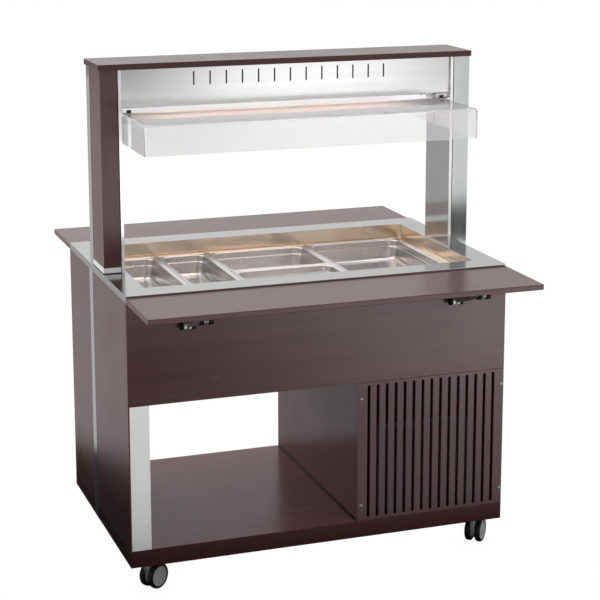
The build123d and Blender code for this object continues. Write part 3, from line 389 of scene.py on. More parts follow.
def makeFoam():
    look = foamLook
    material, tree, shader = newMaterial("foam", {"Metallic": 0.0})
    place = placeAlong(tree, "x")
    cells = put(tree, "TexVoronoi", {"Vector": place, "Scale": look["cells"]}).outputs["Distance"]
    patches = noise(tree, place, look["patches"], 4.0)
    feed(tree, shader, {
        "Base Color": blendColour(tree, patches, look["darkTone"], look["lightTone"]),
        "Roughness": mapRange(tree, cells, 0, 0.6, *look["roughness"])})
    addBump(tree, shader, cells, look["bump"], look["depth"])
    return material


def grey(tone):
    return (tone, tone, tone)


rosySheen = (1, 0.74, 0.75, 1)
looks = {
    "apron": laminate("laminateApron", "x"),
    # painted light and shade: the tray, roof, base and divider are the same laminate at other light levels,
    # and the base's top is painted lighter
    "tray": laminate("laminateTray", "x", (0.31, 0.17, 0.05), 0.95, 0.47),
    "roof": laminate("laminateRoof", "x", (0.77, 0.4, 0.2), 0.75, 0.29),
    "base": laminate("laminateBase", "x", (0.12, 0.6, 0.33), 0.75, 0.24, (0.145, 2.2), rosySheen),
    "panel": laminate("laminatePanel", "z", (0.2, 0.1, 0.4)),
    "divider": laminate("laminateDivider", "z", (0.35, 0.2, 0.6), 1.15, 0.45, None, rosySheen),
    "grille": laminate("laminateGrille", "z", (0.5, 0.3, 0.1)),
    "post": laminate("laminatePost", "z", (0.9, 0.7, 0.3)),
    "rim": metal("rimSteel", "x", (0.45, 0.455, 0.455), (0.53, 0.535, 0.535), 0.10, 0.2),
    "collar": metal("collarSteel", "x", (0.86, 0.87, 0.87), (0.93, 0.94, 0.94), 0.24, 0.34, metallic=0.45),
    # painted light: the basin's steel is tinted warm gold, standing in for warm lamp light and warm
    # reflections
    "well": metal("wellSteelPaintedWarm", "x", (0.90, 0.76, 0.61), (0.97, 0.84, 0.68), 0.10, 0.2, 0.02),
    "pan": metal("panSteel", "y", (0.64, 0.625, 0.62), (0.74, 0.725, 0.72), 0.18, 0.28, 0.03),
    "leg": metal("legSteel", "z", grey(0.94), grey(0.98), 0.36, 0.46, metallic=0.7),
    "housing": metal("housingSteel", "x", grey(0.71), grey(0.74), 0.10, 0.14, 0.015, grimeRough=0.012,
                     edge=("Z", 1.396, 1.364, 0.86, 0.5)),
    # painted highlight: the covers' lips are a near-white, less metallic tone
    "mirror": metal("mirrorSteel", "z", grey(0.56), grey(0.62), 0.07, 0.14, 0.004, grimeRough=0.02,
                    edge=("Y", 0.0872, 0.0876, 0.94, 0.45)),
    "reflector": metal("reflectorWhite", "x", (0.62, 0.60, 0.61), (0.68, 0.66, 0.67), 0.3, 0.4, 0.01,
                       metallic=0.3),
    # painted shadow: a near-black band along each carrier's edge by the panel seam
    "aluminium": metal("anodised", "z", (0.59, 0.605, 0.60), (0.65, 0.665, 0.66), 0.03, 0.07, 0.003,
                       metallic=0.9, grimeRough=0.02, edge=("Y", 0.0450, 0.0448, 0.006, 0.9)),
    # painted shade: the arm bar is dark brown, like the shaded apron behind it
    "armPaintedShade": metal("armPaintedShade", "y", (0.15, 0.115, 0.115), (0.22, 0.175, 0.175), 0.4, 0.5, metallic=0.2),
    "bush": metal("bushSteel", "x", (0.86, 0.87, 0.87), grey(0.95), 0.2, 0.32, metallic=0.4),
    "zinc": metal("zincSteel", "x", (0.42, 0.43, 0.44), (0.6, 0.61, 0.62), 0.22, 0.38),
    "chrome": metal("chrome", "x", (0.74, 0.75, 0.76), (0.86, 0.87, 0.88), 0.04, 0.12, 0.02),
    "black": plastic("blackPlastic", (0.008, 0.008, 0.009), (0.03, 0.03, 0.032), 0.3, 0.45),
    "matteBlack": plastic("matteBlack", (0.004, 0.004, 0.0045), (0.014, 0.014, 0.015), 0.5, 0.62, gloss=0.12),
    "grey": plastic("castorGrey", (0.54, 0.545, 0.545), (0.66, 0.665, 0.665), 0.38, 0.52),
    "rubber": plastic("castorTyre", (0.0016, 0.0016, 0.0018), (0.008, 0.008, 0.0085), 0.5, 0.65, 500.0, 0.12),
    "compressor": plastic("compressorBlack", (0.006, 0.006, 0.007), (0.03, 0.028, 0.026), 0.25, 0.4, 300.0),
    "white": plastic("markWhite", (0.62, 0.62, 0.6), (0.74, 0.74, 0.72), 0.4, 0.5),
    "acrylic": makeAcrylic(),
    "lamp": makeLampGlass(),
    "fins": makeFins(),
    "foam": makeFoam(),
}
corners = [f"{face}_{side}" for face in ("front", "rear") for side in ("left", "right")]
wearers = {
    "apron": ["front_apron", "rear_apron", "bay_ceiling"],
    "tray": ["front_tray", "rear_tray"],
    "roof": ["roof_board"],
    "base": ["base_plate"],
    "panel": ["left_front_panel", "left_rear_panel", "right_front_panel", "right_rear_panel"],
    "divider": ["compartment_divider"],
    "grille": ["front_grille", "rear_grille"],
    "post": ["left_post_cladding", "right_post_cladding"],
    "rim": ["top_rim", "pan_crossbars"],
    "collar": ["post_collars"],
    "well": ["well_basin"],
    "pan": ["full_pan", "half_pan_front", "half_pan_rear", "narrow_pan_inner", "narrow_pan_outer"],
    "leg": ["leg_casing"],
    "housing": ["lamp_housing"],
    "mirror": ["left_post_cover", "right_post_cover"],
    "reflector": ["lamp_reflector"],
    "aluminium": ["post_carriers"],
    "zinc": ["tray_hinges", "castor_plates", "fan_shroud", "stay_brackets", "grille_screws"],
    "chrome": [f"{corner}_arm" for corner in corners],
    "black": ["control_panel", "power_switch", "thermostat_knob", "power_inlet", "fan_blades", "guard_clips"],
    "grey": [f"{corner}_castor_hood" for corner in corners],
    "rubber": [f"{corner}_castor_wheels" for corner in corners],
    "compressor": ["compressor"],
    "acrylic": ["front_guard", "rear_guard"],
    "lamp": ["lamp_tube"],
    "fins": ["condenser"],
    "foam": ["well_insulation"],
}
for key, names in wearers.items():
    for name in names:
        mesh = nodes[name].data
        if not mesh.materials:
            mesh.materials.append(looks[key])
        for index in range(len(mesh.materials)):
            mesh.materials[index] = looks[key]
bare = sorted(set(nodes) - {n for names in wearers.values() for n in names})
print("materials set; nodes without one:", bare)


# mesh helpers, sizes in millimetres turned to metres

def mm(*values):
    return Vector(values) / 1000


def revolve(mesh, profile, matrix, slot=0, steps=48):
    rings = []
    for k in range(steps):
        angle = 2 * math.pi * k / steps
        spin = [matrix @ mm(r * math.cos(angle), r * math.sin(angle), h) for r, h in profile]
        rings.append([mesh.verts.new(p) for p in spin])
    count = len(profile)
    for k in range(steps):
        ring, following = rings[k], rings[(k + 1) % steps]
        for i in range(count):
            j = (i + 1) % count
            if profile[i][0] + profile[j][0] > 0:
                mesh.faces.new((ring[i], following[i], following[j], ring[j])).material_index = slot


def roundEdges(mesh, faces, radius, segments, slot):
    edges = list(dict.fromkeys(e for f in faces for e in f.edges))
    bmesh.ops.bevel(mesh, geom=edges, offset=radius / 1000, segments=segments, affect="EDGES", profile=0.5,
                    material=slot, clamp_overlap=True)


def extrude(mesh, outline, matrix, low, high, slot=0, bevel=0.0, segments=2):
    bottom = [mesh.verts.new(matrix @ mm(a, b, low)) for a, b in outline]
    top = [mesh.verts.new(matrix @ mm(a, b, high)) for a, b in outline]
    faces = [mesh.faces.new(bottom[::-1]), mesh.faces.new(top)]
    count = len(outline)
    for i in range(count):
        j = (i + 1) % count
        faces.append(mesh.faces.new((bottom[i], bottom[j], top[j], top[i])))
    for face in faces:
        face.material_index = slot
    if bevel:
        roundEdges(mesh, faces[:2], bevel, segments, slot)


def brick(mesh, low, high, slot=0, bevel=0.5):
    made = bmesh.ops.create_cube(mesh, size=1)["verts"]
    middle = [(a + b) / 2 for a, b in zip(low, high)]
    size = [abs(a - b) for a, b in zip(low, high)]
    for v in made:
        v.co = mm(*(m + s * c for m, s, c in zip(middle, size, v.co)))
    faces = list(dict.fromkeys(f for v in made for f in v.link_faces))
    for face in faces:
        face.material_index = slot
    if bevel:
        roundEdges(mesh, faces, bevel, 2, slot)


def circle(radius, steps, a=0.0, b=0.0):
    angles = [2 * math.pi / steps * k for k in range(steps)]
    return [(a + radius * math.cos(t), b + radius * math.sin(t)) for t in angles]


def slab(left, right, low, high):
    return [(left, low), (right, low), (right, high), (left, high)]


def axes(origin, x, z):
    x, z = Vector(x).normalized(), Vector(z).normalized()
    y = z.cross(x)
    matrix = Matrix((x, y, z)).transposed().to_4x4()
    matrix.translation = mm(*origin)
    return matrix


def addObject(name, data):
    made = bpy.data.objects.new(name, data)
    bpy.context.scene.collection.objects.link(made)
    return made


def finishPiece(name, mesh, materials, body, slot, *replaced, sharp=35):
    bmesh.ops.remove_doubles(mesh, verts=mesh.verts, dist=1e-6)
    bmesh.ops.recalc_face_normals(mesh, faces=mesh.faces)
    data = bpy.data.meshes.new(name)
    mesh.to_mesh(data)
    mesh.free()
    for key in materials:
        data.materials.append(looks[key])
    data.shade_smooth()
    data.set_sharp_from_angle(angle=math.radians(sharp))
    piece = addObject(name, data)
    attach(piece, body)
    if replaced:
        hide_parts(*replaced)
    return piece


# castors: twin wheels with a ribbed tyre, a dished grey disc and a cap, round a moulded hood
castorSizes = {
    "x": 510, "y": 300, "trail": 25, "radius": 37.5, "tyreWidth": 17, "gap": 15, "discRadius": 29.5,
    "ribs": 8, "axleRadius": 4, "axleHalf": 9,
    "hoodRadius": 27, "hoodHalf": 6.4, "hoodReach": 17, "hoodTop": 86.5, "brow": 13,
    "headings": {"front_left": 33.4, "front_right": 47.3, "rear_left": 40.0, "rear_right": 55.0},
}


def hullOf(points):
    points = sorted(set((round(a, 4), round(b, 4)) for a, b in points))

    def half(run):
        kept = []
        for p in run:
            while len(kept) > 1 and ((kept[-1][0] - kept[-2][0]) * (p[1] - kept[-2][1])
                                     - (kept[-1][1] - kept[-2][1]) * (p[0] - kept[-2][0])) <= 0:
                kept.pop()
            kept.append(p)
        return kept[:-1]
    return half(points) + half(points[::-1])


def makeWheels(corner, centre, roll, axle):
    size = castorSizes
    r, d, inner = size["radius"], size["discRadius"], size["gap"] / 2
    outer = inner + size["tyreWidth"]
    # half of the tyre's section: radius, and distance from the tyre's side
    shoulder = [(d, 0.8), (d + 1.4, 0), (r - 4.6, 0), (r - 2.2, 0.9), (r - 0.7, 2.8), (r - 0.1, 5.2),
                (r, 6.6), (r - 0.45, 7.0), (r - 0.45, 7.5), (r, 7.9)]
    tyre = [(p, inner + q) for p, q in shoulder] + [(p, outer - q) for p, q in reversed(shoulder)]
    dish = [(d, 1.7), (d - 1.2, 1.5), (d - 3.0, 1.5), (d - 4.2, 2.3), (d - 8.0, 2.6), (15, 2.4), (13.5, 1.7),
            (12.4, 1.5), (0, 1.5)]
    disc = [(0, inner + 1.5), (d, inner + 1.5)] + [(p, outer - q) for p, q in dish]
    button = [(0, 1.6), (8.5, 1.6), (8.5, 0.9), (7.6, 0.3), (5.5, 0.05), (0, 0.05)]
    cap = [(p, outer - q) for p, q in button]
    rib = [(15, -0.9), (d - 4.4, -1.2), (d - 4.4, 1.2), (15, 0.9)]
    wheels = bmesh.new()
    for way in (-1, 1):
        hub = axes(centre, roll, [way * c for c in axle])
        revolve(wheels, tyre, hub, 0, 72)
        revolve(wheels, disc, hub, 1, 72)
        revolve(wheels, cap, hub, 1, 40)
        for k in range(size["ribs"]):
            turned = hub @ Matrix.Rotation(2 * math.pi * k / size["ribs"], 4, "Z")
            extrude(wheels, rib, turned, outer - 3.0, outer - 1.9, 1, 0.25, 1)
    a, h = size["axleRadius"], size["axleHalf"]
    revolve(wheels, slab(0, a, -h, h), axes(centre, roll, axle), 2, 32)
    node = f"{corner}_castor_wheels"
    tones = ("rubber", "grey", "zinc")
    finishPiece(f"castorWheels_{corner}", wheels, tones, node, "castor_tyre", node, sharp=32)


def makeHood(corner, x, y, roll, axle):
    size = castorSizes
    trail, r, reach, top = size["trail"], size["radius"], size["hoodReach"], size["hoodTop"]
    hood = bmesh.new()
    edge = [p for p in circle(size["hoodRadius"], 48, trail, r) if p[1] < r + size["brow"] or p[0] > trail]
    edge += [(reach, top), (-reach, top)]
    half = size["hoodHalf"]
    extrude(hood, hullOf(edge), axes((x, y, 0), roll, axle), -half, half, 0, 1.8, 3)
    neck = axes((x, y, 0), (1, 0, 0), (0, 0, 1))
    sleeve = [(6.1, 78.5), (6.1, 91.6), (15.2, 91.6), (16.2, 91.2), (16.9, 90), (16.9, 80), (16, 78.5),
              (14, 76.8), (6.1, 76.8)]
    revolve(hood, sleeve, neck, 0, 56)
    revolve(hood, [(17.0, 83.0), (17.0, 85.0), (16.2, 85.4), (16.2, 82.6)], neck, 0, 56)
    node = f"{corner}_castor_hood"
    finishPiece(f"castorHood_{corner}", hood, ("grey",), node, "castor_grey", node)


def makeCastors():
    size = castorSizes
    for corner, heading in size["headings"].items():
        face, side = corner.split("_")
        x = size["x"] * (-1 if side == "left" else 1)
        y = size["y"] * (-1 if face == "front" else 1)
        turn = math.radians(heading)
        roll = (math.cos(turn), math.sin(turn), 0)
        axle = (math.sin(turn), -math.cos(turn), 0)
        centre = (x + size["trail"] * roll[0], y + size["trail"] * roll[1], size["radius"])
        makeWheels(corner, centre, roll, axle)
        makeHood(corner, x, y, roll, axle)


makeCastors()
print("castors made")


# support arms: slim dark bar, in a painted shade tone like the shaded apron behind it, between bright bushes,
# black caps at the pivot and black rollers at the tip
staySizes = {
    "x": 404, "pivotY": 376, "pivotZ": 790, "tipY": 560, "tipZ": 850.7, "barHalf": 3, "end": 5.5, "bush": 9.2,
    "cheek": 12, "cheekSheet": 2, "cheekHalf": 9, "nose": 7, "cap": 11, "capWidth": 9.7, "pin": 3.9,
    "rollerFrom": 6.3, "rollerTo": 19.7, "wall": 360, "plate": 2, "plateHalfX": 15, "plateHalfZ": 10.5,
    "screwX": 5.5, "screwZ": 6.5,
}


def capProfile(radius, low, high):
    return [(0, low), (radius - 1.2, low), (radius - 0.3, low + 0.4), (radius, low + 1.4),
            (radius, high - 2.6), (radius - 0.6, high - 1.1), (radius - 2.0, high - 0.2),
            (radius - 3.6, high), (radius - 4.4, high - 0.7), (0, high - 0.7)]


def ringProfile(inner, outer, low, high):
    return [(inner, low), (outer - 0.6, low), (outer, low + 0.6), (outer, high - 0.6), (outer - 0.6, high),
            (inner, high)]


def makeBracket(brackets, x, face):
    size = staySizes
    wall, pivot, z = size["wall"], size["pivotY"], size["pivotZ"]
    outside = face * (wall + size["plate"])
    a, b, h = size["plateHalfX"], size["plateHalfZ"], size["cheekHalf"]
    brick(brackets, (x - a, face * wall, z - b), (x + a, outside, z + b), 1, 0.5)
    bow = [math.radians(t) for t in range(-75, 76, 15)]
    nose = [(pivot + size["nose"] * math.cos(t), h * math.sin(t)) for t in bow]
    cheek = [(wall + 1, -h), (pivot, -h)] + nose + [(pivot, h), (wall + 1, h)]
    screw = [(0, 0), (3, 0), (2.6, 0.8), (1.4, 1.2), (1.1, 0.6), (0, 0.6)]
    inner, outer = size["cheek"] - size["cheekSheet"], size["cheek"]
    cap = [(r, q + outer) for r, q in capProfile(size["cap"], 0, size["capWidth"])]
    for way in (-1, 1):
        local = axes((x + way * inner, 0, 0), (0, face, 0), (way, 0, 0))
        turned = 1 if local.col[1][2] > 0 else -1  # local Y may point down
        extrude(brackets, [(p, turned * (z + q)) for p, q in cheek], local, 0, size["cheekSheet"], 0, 0.3, 1)
        for dz in (-size["screwZ"], size["screwZ"]):
            head = axes((x + way * size["screwX"], outside, z + dz), (1, 0, 0), (0, face, 0))
            revolve(brackets, screw, head, 0, 24)
        pin = axes((x, face * pivot, z), (0, 0, 1), (way, 0, 0))
        revolve(brackets, ringProfile(3, size["bush"], size["barHalf"] + 0.4, inner), pin, 0, 40)
        revolve(brackets, cap, pin, 1, 40)
    r = size["pin"]
    pin = axes((x, face * pivot, z), (0, 0, 1), (1, 0, 0))
    revolve(brackets, slab(0, r, -outer, outer), pin, 0, 32)


def makeArm(name, x, face):
    size = staySizes
    arm = bmesh.new()
    rise, run = size["tipZ"] - size["pivotZ"], size["tipY"] - size["pivotY"]
    length, tilt = math.hypot(rise, run), math.atan2(rise, run)
    along = (0, face * math.cos(tilt), math.sin(tilt))
    local = axes((x, face * size["pivotY"], size["pivotZ"]), along, (face, 0, 0))
    root = [math.radians(a) for a in range(60, 301, 12)]
    tip = [math.radians(a) for a in range(-120, 121, 12)]
    end, half = size["end"], size["barHalf"]
    outline = [(end * math.cos(t), end * math.sin(t)) for t in root]
    outline += [(length + end * math.cos(t), end * math.sin(t)) for t in tip]
    extrude(arm, outline, local, -half, half, 0, 0.9, 3)
    low, high = size["rollerFrom"], size["rollerTo"]
    rivet = [(0, high - 1.2), (3.4, high - 1.2), (3.4, high - 0.5), (2.6, high - 0.1), (0, high - 0.1)]
    for way in (-1, 1):
        roller = axes((x, face * size["tipY"], size["tipZ"]), (0, 0, 1), (way, 0, 0))
        revolve(arm, ringProfile(2, 6, half, low), roller, 2, 32)
        revolve(arm, capProfile(size["cap"], low, high), roller, 1, 40)
        revolve(arm, rivet, roller, 2, 28)
    node = name + "_arm"
    finishPiece("supportArm_" + name, arm, ("armPaintedShade", "matteBlack", "bush"), node, "zinc_steel", node)


def makeStays():
    brackets = bmesh.new()
    for corner in corners:
        face, side = corner.split("_")
        x = staySizes["x"] * (-1 if side == "left" else 1)
        way = -1 if face == "front" else 1
        makeBracket(brackets, x, way)
        makeArm(corner, x, way)
    finishPiece("stayBrackets", brackets, ("bush", "matteBlack"), "cabinet", "zinc_steel", "stay_brackets")


makeStays()
print("support arms made")


# grille screws: domed heads with a cross recess
screwSizes = {
    "left": 119, "right": 565, "low": 193, "high": 519, "face": 360, "radius": 4.5, "head": 2.2, "shank": 1.9,
    "depth": 6, "recess": 1.0,
}


def makeScrews():
    size = screwSizes
    r, h, s, low = size["radius"], size["head"], size["shank"], size["recess"]
    head = [(0, -size["depth"]), (s, -size["depth"]), (s, 0), (r, 0), (r, 0.5), (r - 0.5, 1.2),
            (r - 1.4, 1.8), (2.2, h - 0.15), (2.0, 1.2), (0, low)]
    quarter = slab(0.5, 2.1, -0.62, 0.62)
    screws = bmesh.new()
    for face in (-1, 1):
        for x in (size["left"], size["right"]):
            for z in (size["low"], size["high"]):
                local = axes((x, face * size["face"], z), (1, 0, 0), (0, face, 0))
                revolve(screws, head, local, 0, 32)
                for k in range(4):
                    spoke = local @ Matrix.Rotation(math.pi * k / 2 + math.pi / 4, 4, "Z")
                    extrude(screws, quarter, spoke, low, h - 0.3, 0, 0.1, 1)
    finishPiece("grilleScrews", screws, ("zinc",), "cabinet", "zinc_steel", "grille_screws")


makeScrews()


# guard clips: bent steel angle, knurled black knob on a bolt with a nut below
clipSizes = {
    "x": 507, "y": 77, "z": 1341, "arm": 33, "tab": 15, "width": 20, "sheet": 2, "bolt": 24, "guard": 5,
    "knob": 6.9, "groove": 0.7, "ridges": 28, "knobTop": 8, "boltRadius": 2.4, "boltEnd": 9, "nut": 4.0,
}


def makeClips():
    size = clipSizes
    s, start, half = size["sheet"], -size["x"], size["width"] / 2
    tip, heel = start + size["arm"], start + s
    bent = [(start, size["tab"]), (start, 0), (tip, 0), (tip, s), (heel + 2, s), (heel + 0.6, s + 0.6),
            (heel, s + 2), (heel, size["tab"])]
    ring = circle(1, size["ridges"])
    knob = [((size["knob"] - size["groove"] * (k % 2)) * a, (size["knob"] - size["groove"] * (k % 2)) * b)
            for k, (a, b) in enumerate(ring)]
    r, end, under = size["boltRadius"], -size["boltEnd"], -size["guard"]
    clips = bmesh.new()
    for face in (-1, 1):
        for side in (-1, 1):
            y, z = face * size["y"], size["z"]
            up = side * face  # local Y points down on two of the four
            outline = [(a, up * b) for a, b in bent][::up]
            extrude(clips, outline, axes((0, y, z), (-side, 0, 0), (0, face, 0)), -half, half, 0, 0.4, 2)
            post = axes((side * (size["x"] - size["bolt"]), y, z), (1, 0, 0), (0, 0, 1))
            extrude(clips, knob, post, s + 0.6, s + size["knobTop"], 1, 0.5, 2)
            revolve(clips, slab(0, 6.2, s, s + 0.8), post, 1, 32)
            revolve(clips, slab(0, r, end, s), post, 0, 24)
            extrude(clips, circle(size["nut"], 6), post, under - 4, under - 0.05, 0, 0.3, 1)
    finishPiece("guardClips", clips, ("zinc", "black"), "cabinet", "zinc_steel", "guard_clips")


makeClips()


# lamp: glass tube, metal end caps and white holders
lampSizes = {
    "half": 425, "radius": 13, "z": 1392,
    "holder": 16, "holderHalf": 14.5, "holderLow": 15, "holderHigh": 29.5,
}


def makeLamp():
    size = lampSizes
    h, r, z, half = size["half"], size["radius"], size["z"], size["holderHalf"]
    end = [(0, 24), (r - 1.5, 24), (r - 0.4, 26), (r - 0.2, 30)]  # radius, and distance from the lamp's end
    glass = [(p, q - h) for p, q in end] + [(p, h - q) for p, q in reversed(end)]
    metalCap = [(0, h - 27), (r - 0.6, h - 27), (r, h - 26), (r, h - 3), (r - 0.8, h - 1), (r - 2.5, h),
                (0, h)]
    lamp = bmesh.new()
    revolve(lamp, glass, axes((0, 0, z), (0, 0, 1), (1, 0, 0)), 0, 40)
    for way in (-1, 1):
        cap = axes((0, 0, z), (0, 0, 1), (way, 0, 0))
        revolve(lamp, metalCap, cap, 1, 40)
        low, high = sorted((way * (h + 0.2), way * (h + size["holder"])))
        brick(lamp, (low, -half, z - size["holderLow"]), (high, half, z + size["holderHigh"]), 2, 1.5)
        revolve(lamp, slab(0, 6, h - 0.5, h + 0.6), cap, 2, 24)
    finishPiece("lampTube", lamp, ("lamp", "chrome", "white"), "cabinet", "lamp_glass", "lamp_tube")


makeLamp()


# fine gauze strips inside the housing behind the vents
gauzeSizes = {
    "half": 312, "low": 1408, "high": 1460, "inner": 78.4, "sheet": 0.6,
    "pitch": 10, "wires": 31, "wireHalf": 0.4, "wireFrom": 0.5, "wireTo": 0.9, "inset": 1,
}


def makeGauze():
    size = gauzeSizes
    gauze = bmesh.new()
    low, high = size["low"], size["high"]
    for face in (-1, 1):
        start, back, front, rear = [face * (size["inner"] - d)
                                    for d in (0, size["sheet"], size["wireFrom"], size["wireTo"])]
        brick(gauze, (-size["half"], start, low), (size["half"], back, high), 0, 0.1)
        for k in range(-size["wires"], size["wires"] + 1):
            left, right = k * size["pitch"] - size["wireHalf"], k * size["pitch"] + size["wireHalf"]
            brick(gauze, (left, front, low + size["inset"]), (right, rear, high - size["inset"]), 0, 0)
    finishPiece("ventGauze", gauze, ("black",), "cabinet", "black_plastic")


makeGauze()


# thin filter mat on the inside of the rear grille, with a wire frame
matSizes = {
    "left": 112, "right": 552, "low": 150, "high": 560, "face": 343.8, "sheet": 0.8, "pitch": 22, "wire": 1.0,
    "inset": 4,
}


def makeMat():
    size = matSizes
    mat = bmesh.new()
    left, right, low, high = [size[key] for key in ("left", "right", "low", "high")]
    back, half = size["face"] - size["sheet"], size["wire"] / 2
    brick(mat, (left, back, low), (right, size["face"], high), 0, 0.2)
    for k in range(1, int((right - left) / size["pitch"])):
        x = left + k * size["pitch"]
        foot = (x - half, back - size["wire"], low + size["inset"])
        brick(mat, foot, (x + half, back + 0.1, high - size["inset"]), 1, 0.2)
    finishPiece("filterMat", mat, ("matteBlack", "zinc"), "cabinet", "black_plastic")


makeMat()
print("lamp, clips, screws and mat made")


# pans: rolled flange edge, drawn bowl with a stacking shoulder and a rounded floor
panSizes = {
    "length": 325, "width": 530, "gap": 1, "ledge": 838, "floor": 775.4, "under": 774.4, "round": 14,
    "corner": 30, "inside": 18.2, "outside": 17.2,
    "spots": {  # middle, and the shares of the length and the width
        "narrow_pan_outer": (-406.25, 0, 0.5, 1), "narrow_pan_inner": (-243.75, 0, 0.5, 1),
        "half_pan_front": (0, -132.5, 1, 0.5), "half_pan_rear": (0, 132.5, 1, 0.5),
        "full_pan": (325, 0, 1, 1)},
}


def roundedRing(mesh, middle, length, width, radius, z, steps=8):
    ring = []
    for quarter, (sx, sy) in enumerate(((1, 1), (-1, 1), (-1, -1), (1, -1))):
        for k in range(steps + 1):
            angle = math.pi / 2 * (quarter + k / steps)
            x = middle[0] + sx * (length / 2 - radius) + radius * math.cos(angle)
            y = middle[1] + sy * (width / 2 - radius) + radius * math.sin(angle)
            ring.append(mesh.verts.new(mm(x, y, z)))
    return ring


def loft(mesh, rings, slot=0):
    for low, high in zip(rings, rings[1:]):
        for i in range(len(low)):
            j = (i + 1) % len(low)
            mesh.faces.new((low[i], low[j], high[j], high[i])).material_index = slot
    mesh.faces.new(rings[0]).material_index = slot
    mesh.faces.new(rings[-1]).material_index = slot


# each entry: inset from the flange edge, height and corner radius; floor up to the flange, then back under it
# the wall, rim and underside have their heights from the ledge
def panProfile():
    size = panSizes
    ledge, r, c = size["ledge"], size["round"], size["corner"]
    bends = [(r * (1 - math.cos(t)), r * (1 - math.sin(t))) for t in map(math.radians, range(90, -1, -15))]
    inside = [(size["inside"] + a, size["floor"] + b, c - 1.5 - a) for a, b in bends]
    wall = [(16.6, -22.4, c - 1), (16.2, -20.8, c - 1), (15.2, -19.7, c - 0.5), (14.4, -18.4, c),
            (14.2, -17, c), (13.6, -4, c), (13.3, -1.6, c), (12.6, 0, c - 1), (11.3, 0.9, c - 3),
            (9.5, 1.2, c - 8)]
    rim = [(4.6, 1.35, 9), (3.8, 1.6, 8.5), (3.0, 2.3, 8.5), (1.8, 2.6, 9), (0.7, 2.3, 9.5), (0.1, 1.6, 10),
           (0, 0.7, 10), (0.3, 0.1, 10)]
    under = [(5, 0.1, 12), (12.3, -0.2, c), (12.6, -4, c), (13.1, -18.2, c), (14.2, -20.6, c - 0.5),
             (15.5, -22.8, c)]
    outside = [(size["outside"] + a, size["under"] + b, c - 1 - a) for a, b in reversed(bends)]
    return inside + [(inset, ledge + h, radius) for inset, h, radius in wall + rim + under] + outside


def makePans():
    size = panSizes
    for name, (x, y, lengthShare, widthShare) in size["spots"].items():
        length = size["length"] * lengthShare - size["gap"]
        width = size["width"] * widthShare - size["gap"]
        pan = bmesh.new()
        loft(pan, [roundedRing(pan, (x, y), length - 2 * inset, width - 2 * inset, radius, z)
                   for inset, z, radius in panProfile()])
        finishPiece(name + "_drawn", pan, ("pan",), name, "brushed_steel", name, sharp=50)


makePans()
print("pans made")


# painted shadow: dark strips standing in for the shade in the gaps along one edge of each post carrier, round
# the foot of each collar and under the divider
shadowStripSizes = {
    "post": 568, "seam": 43, "half": 1.4, "sunk": 0.5, "proud": 0.25, "postFoot": 900, "roof": 1467,
    "top": 883, "collar": 89.5, "collarEnd": 518, "collarOut": 2.1, "collarSide": 0.6, "band": 1.6,
    "foot": 2.6,
    "divider": 107, "bay": 145, "reach": 343, "dividerIn": 3.4, "dividerOut": 0.2, "dividerUp": 3.2,
}


def makeShadowStrips():
    size = shadowStripSizes
    shadowStrips = bmesh.new()
    out, edge = size["post"] + size["collarOut"], size["collar"] + size["collarSide"]
    end, band = size["collarEnd"], size["band"]
    collar = [(-out, size["seam"]), (-out, -edge), (-end, -edge), (-end, band - edge),
              (band - out, band - edge), (band - out, size["seam"])]
    for side in (-1, 1):
        seam, half = -side * size["seam"], size["half"]
        low = (side * (size["post"] - size["sunk"]), seam - half, size["postFoot"])
        brick(shadowStrips, low, (side * (size["post"] + size["proud"]), seam + half, size["roof"]), 0, 0.1)
        spin = Matrix.Rotation(0 if side < 0 else math.pi, 4, "Z")
        extrude(shadowStrips, collar, spin, size["top"] + 0.05, size["top"] + size["foot"], 0, 0.3, 1)
    x, y, z = size["divider"], size["reach"], size["bay"]
    brick(shadowStrips, (x - size["dividerIn"], -y, z), (x + size["dividerOut"], y, z + size["dividerUp"]), 0, 0.5)
    finishPiece("postShadowStrips", shadowStrips, ("rubber",), "cabinet", "black_plastic")


makeShadowStrips()
print("seals made")


# marks and small screws of the controls at the rear, and screws of the fixed hinge leaves
dialSizes = {
    "x": 260, "z": 754, "face": 362, "ring": 20.5, "marks": 11, "first": 225, "step": 27, "long": 4.5,
    "short": 2.8, "markHalf": 0.45, "proud": 0.25, "switchX": 180, "panelX": 220, "panelScrews": (73, 28),
    "inletX": 500, "inletZ": 617, "inletScrew": 20, "knobFace": 379.5, "pointerHalf": 0.7, "ribs": 24,
    "hinges": (-300, 0, 300), "leaf": 362, "leafZ": 830, "leafScrew": 22, "middleUp": 4,
}


def smallScrew(mesh, place, face, radius=2.2, slot=0):
    r = radius
    head = [(0, -1), (r, -1), (r, 0.3), (r * 0.85, 0.8), (r * 0.5, 1.0), (r * 0.45, 0.5), (0, 0.45)]
    revolve(mesh, head, axes(place, (1, 0, 0), (0, face, 0)), slot, 24)


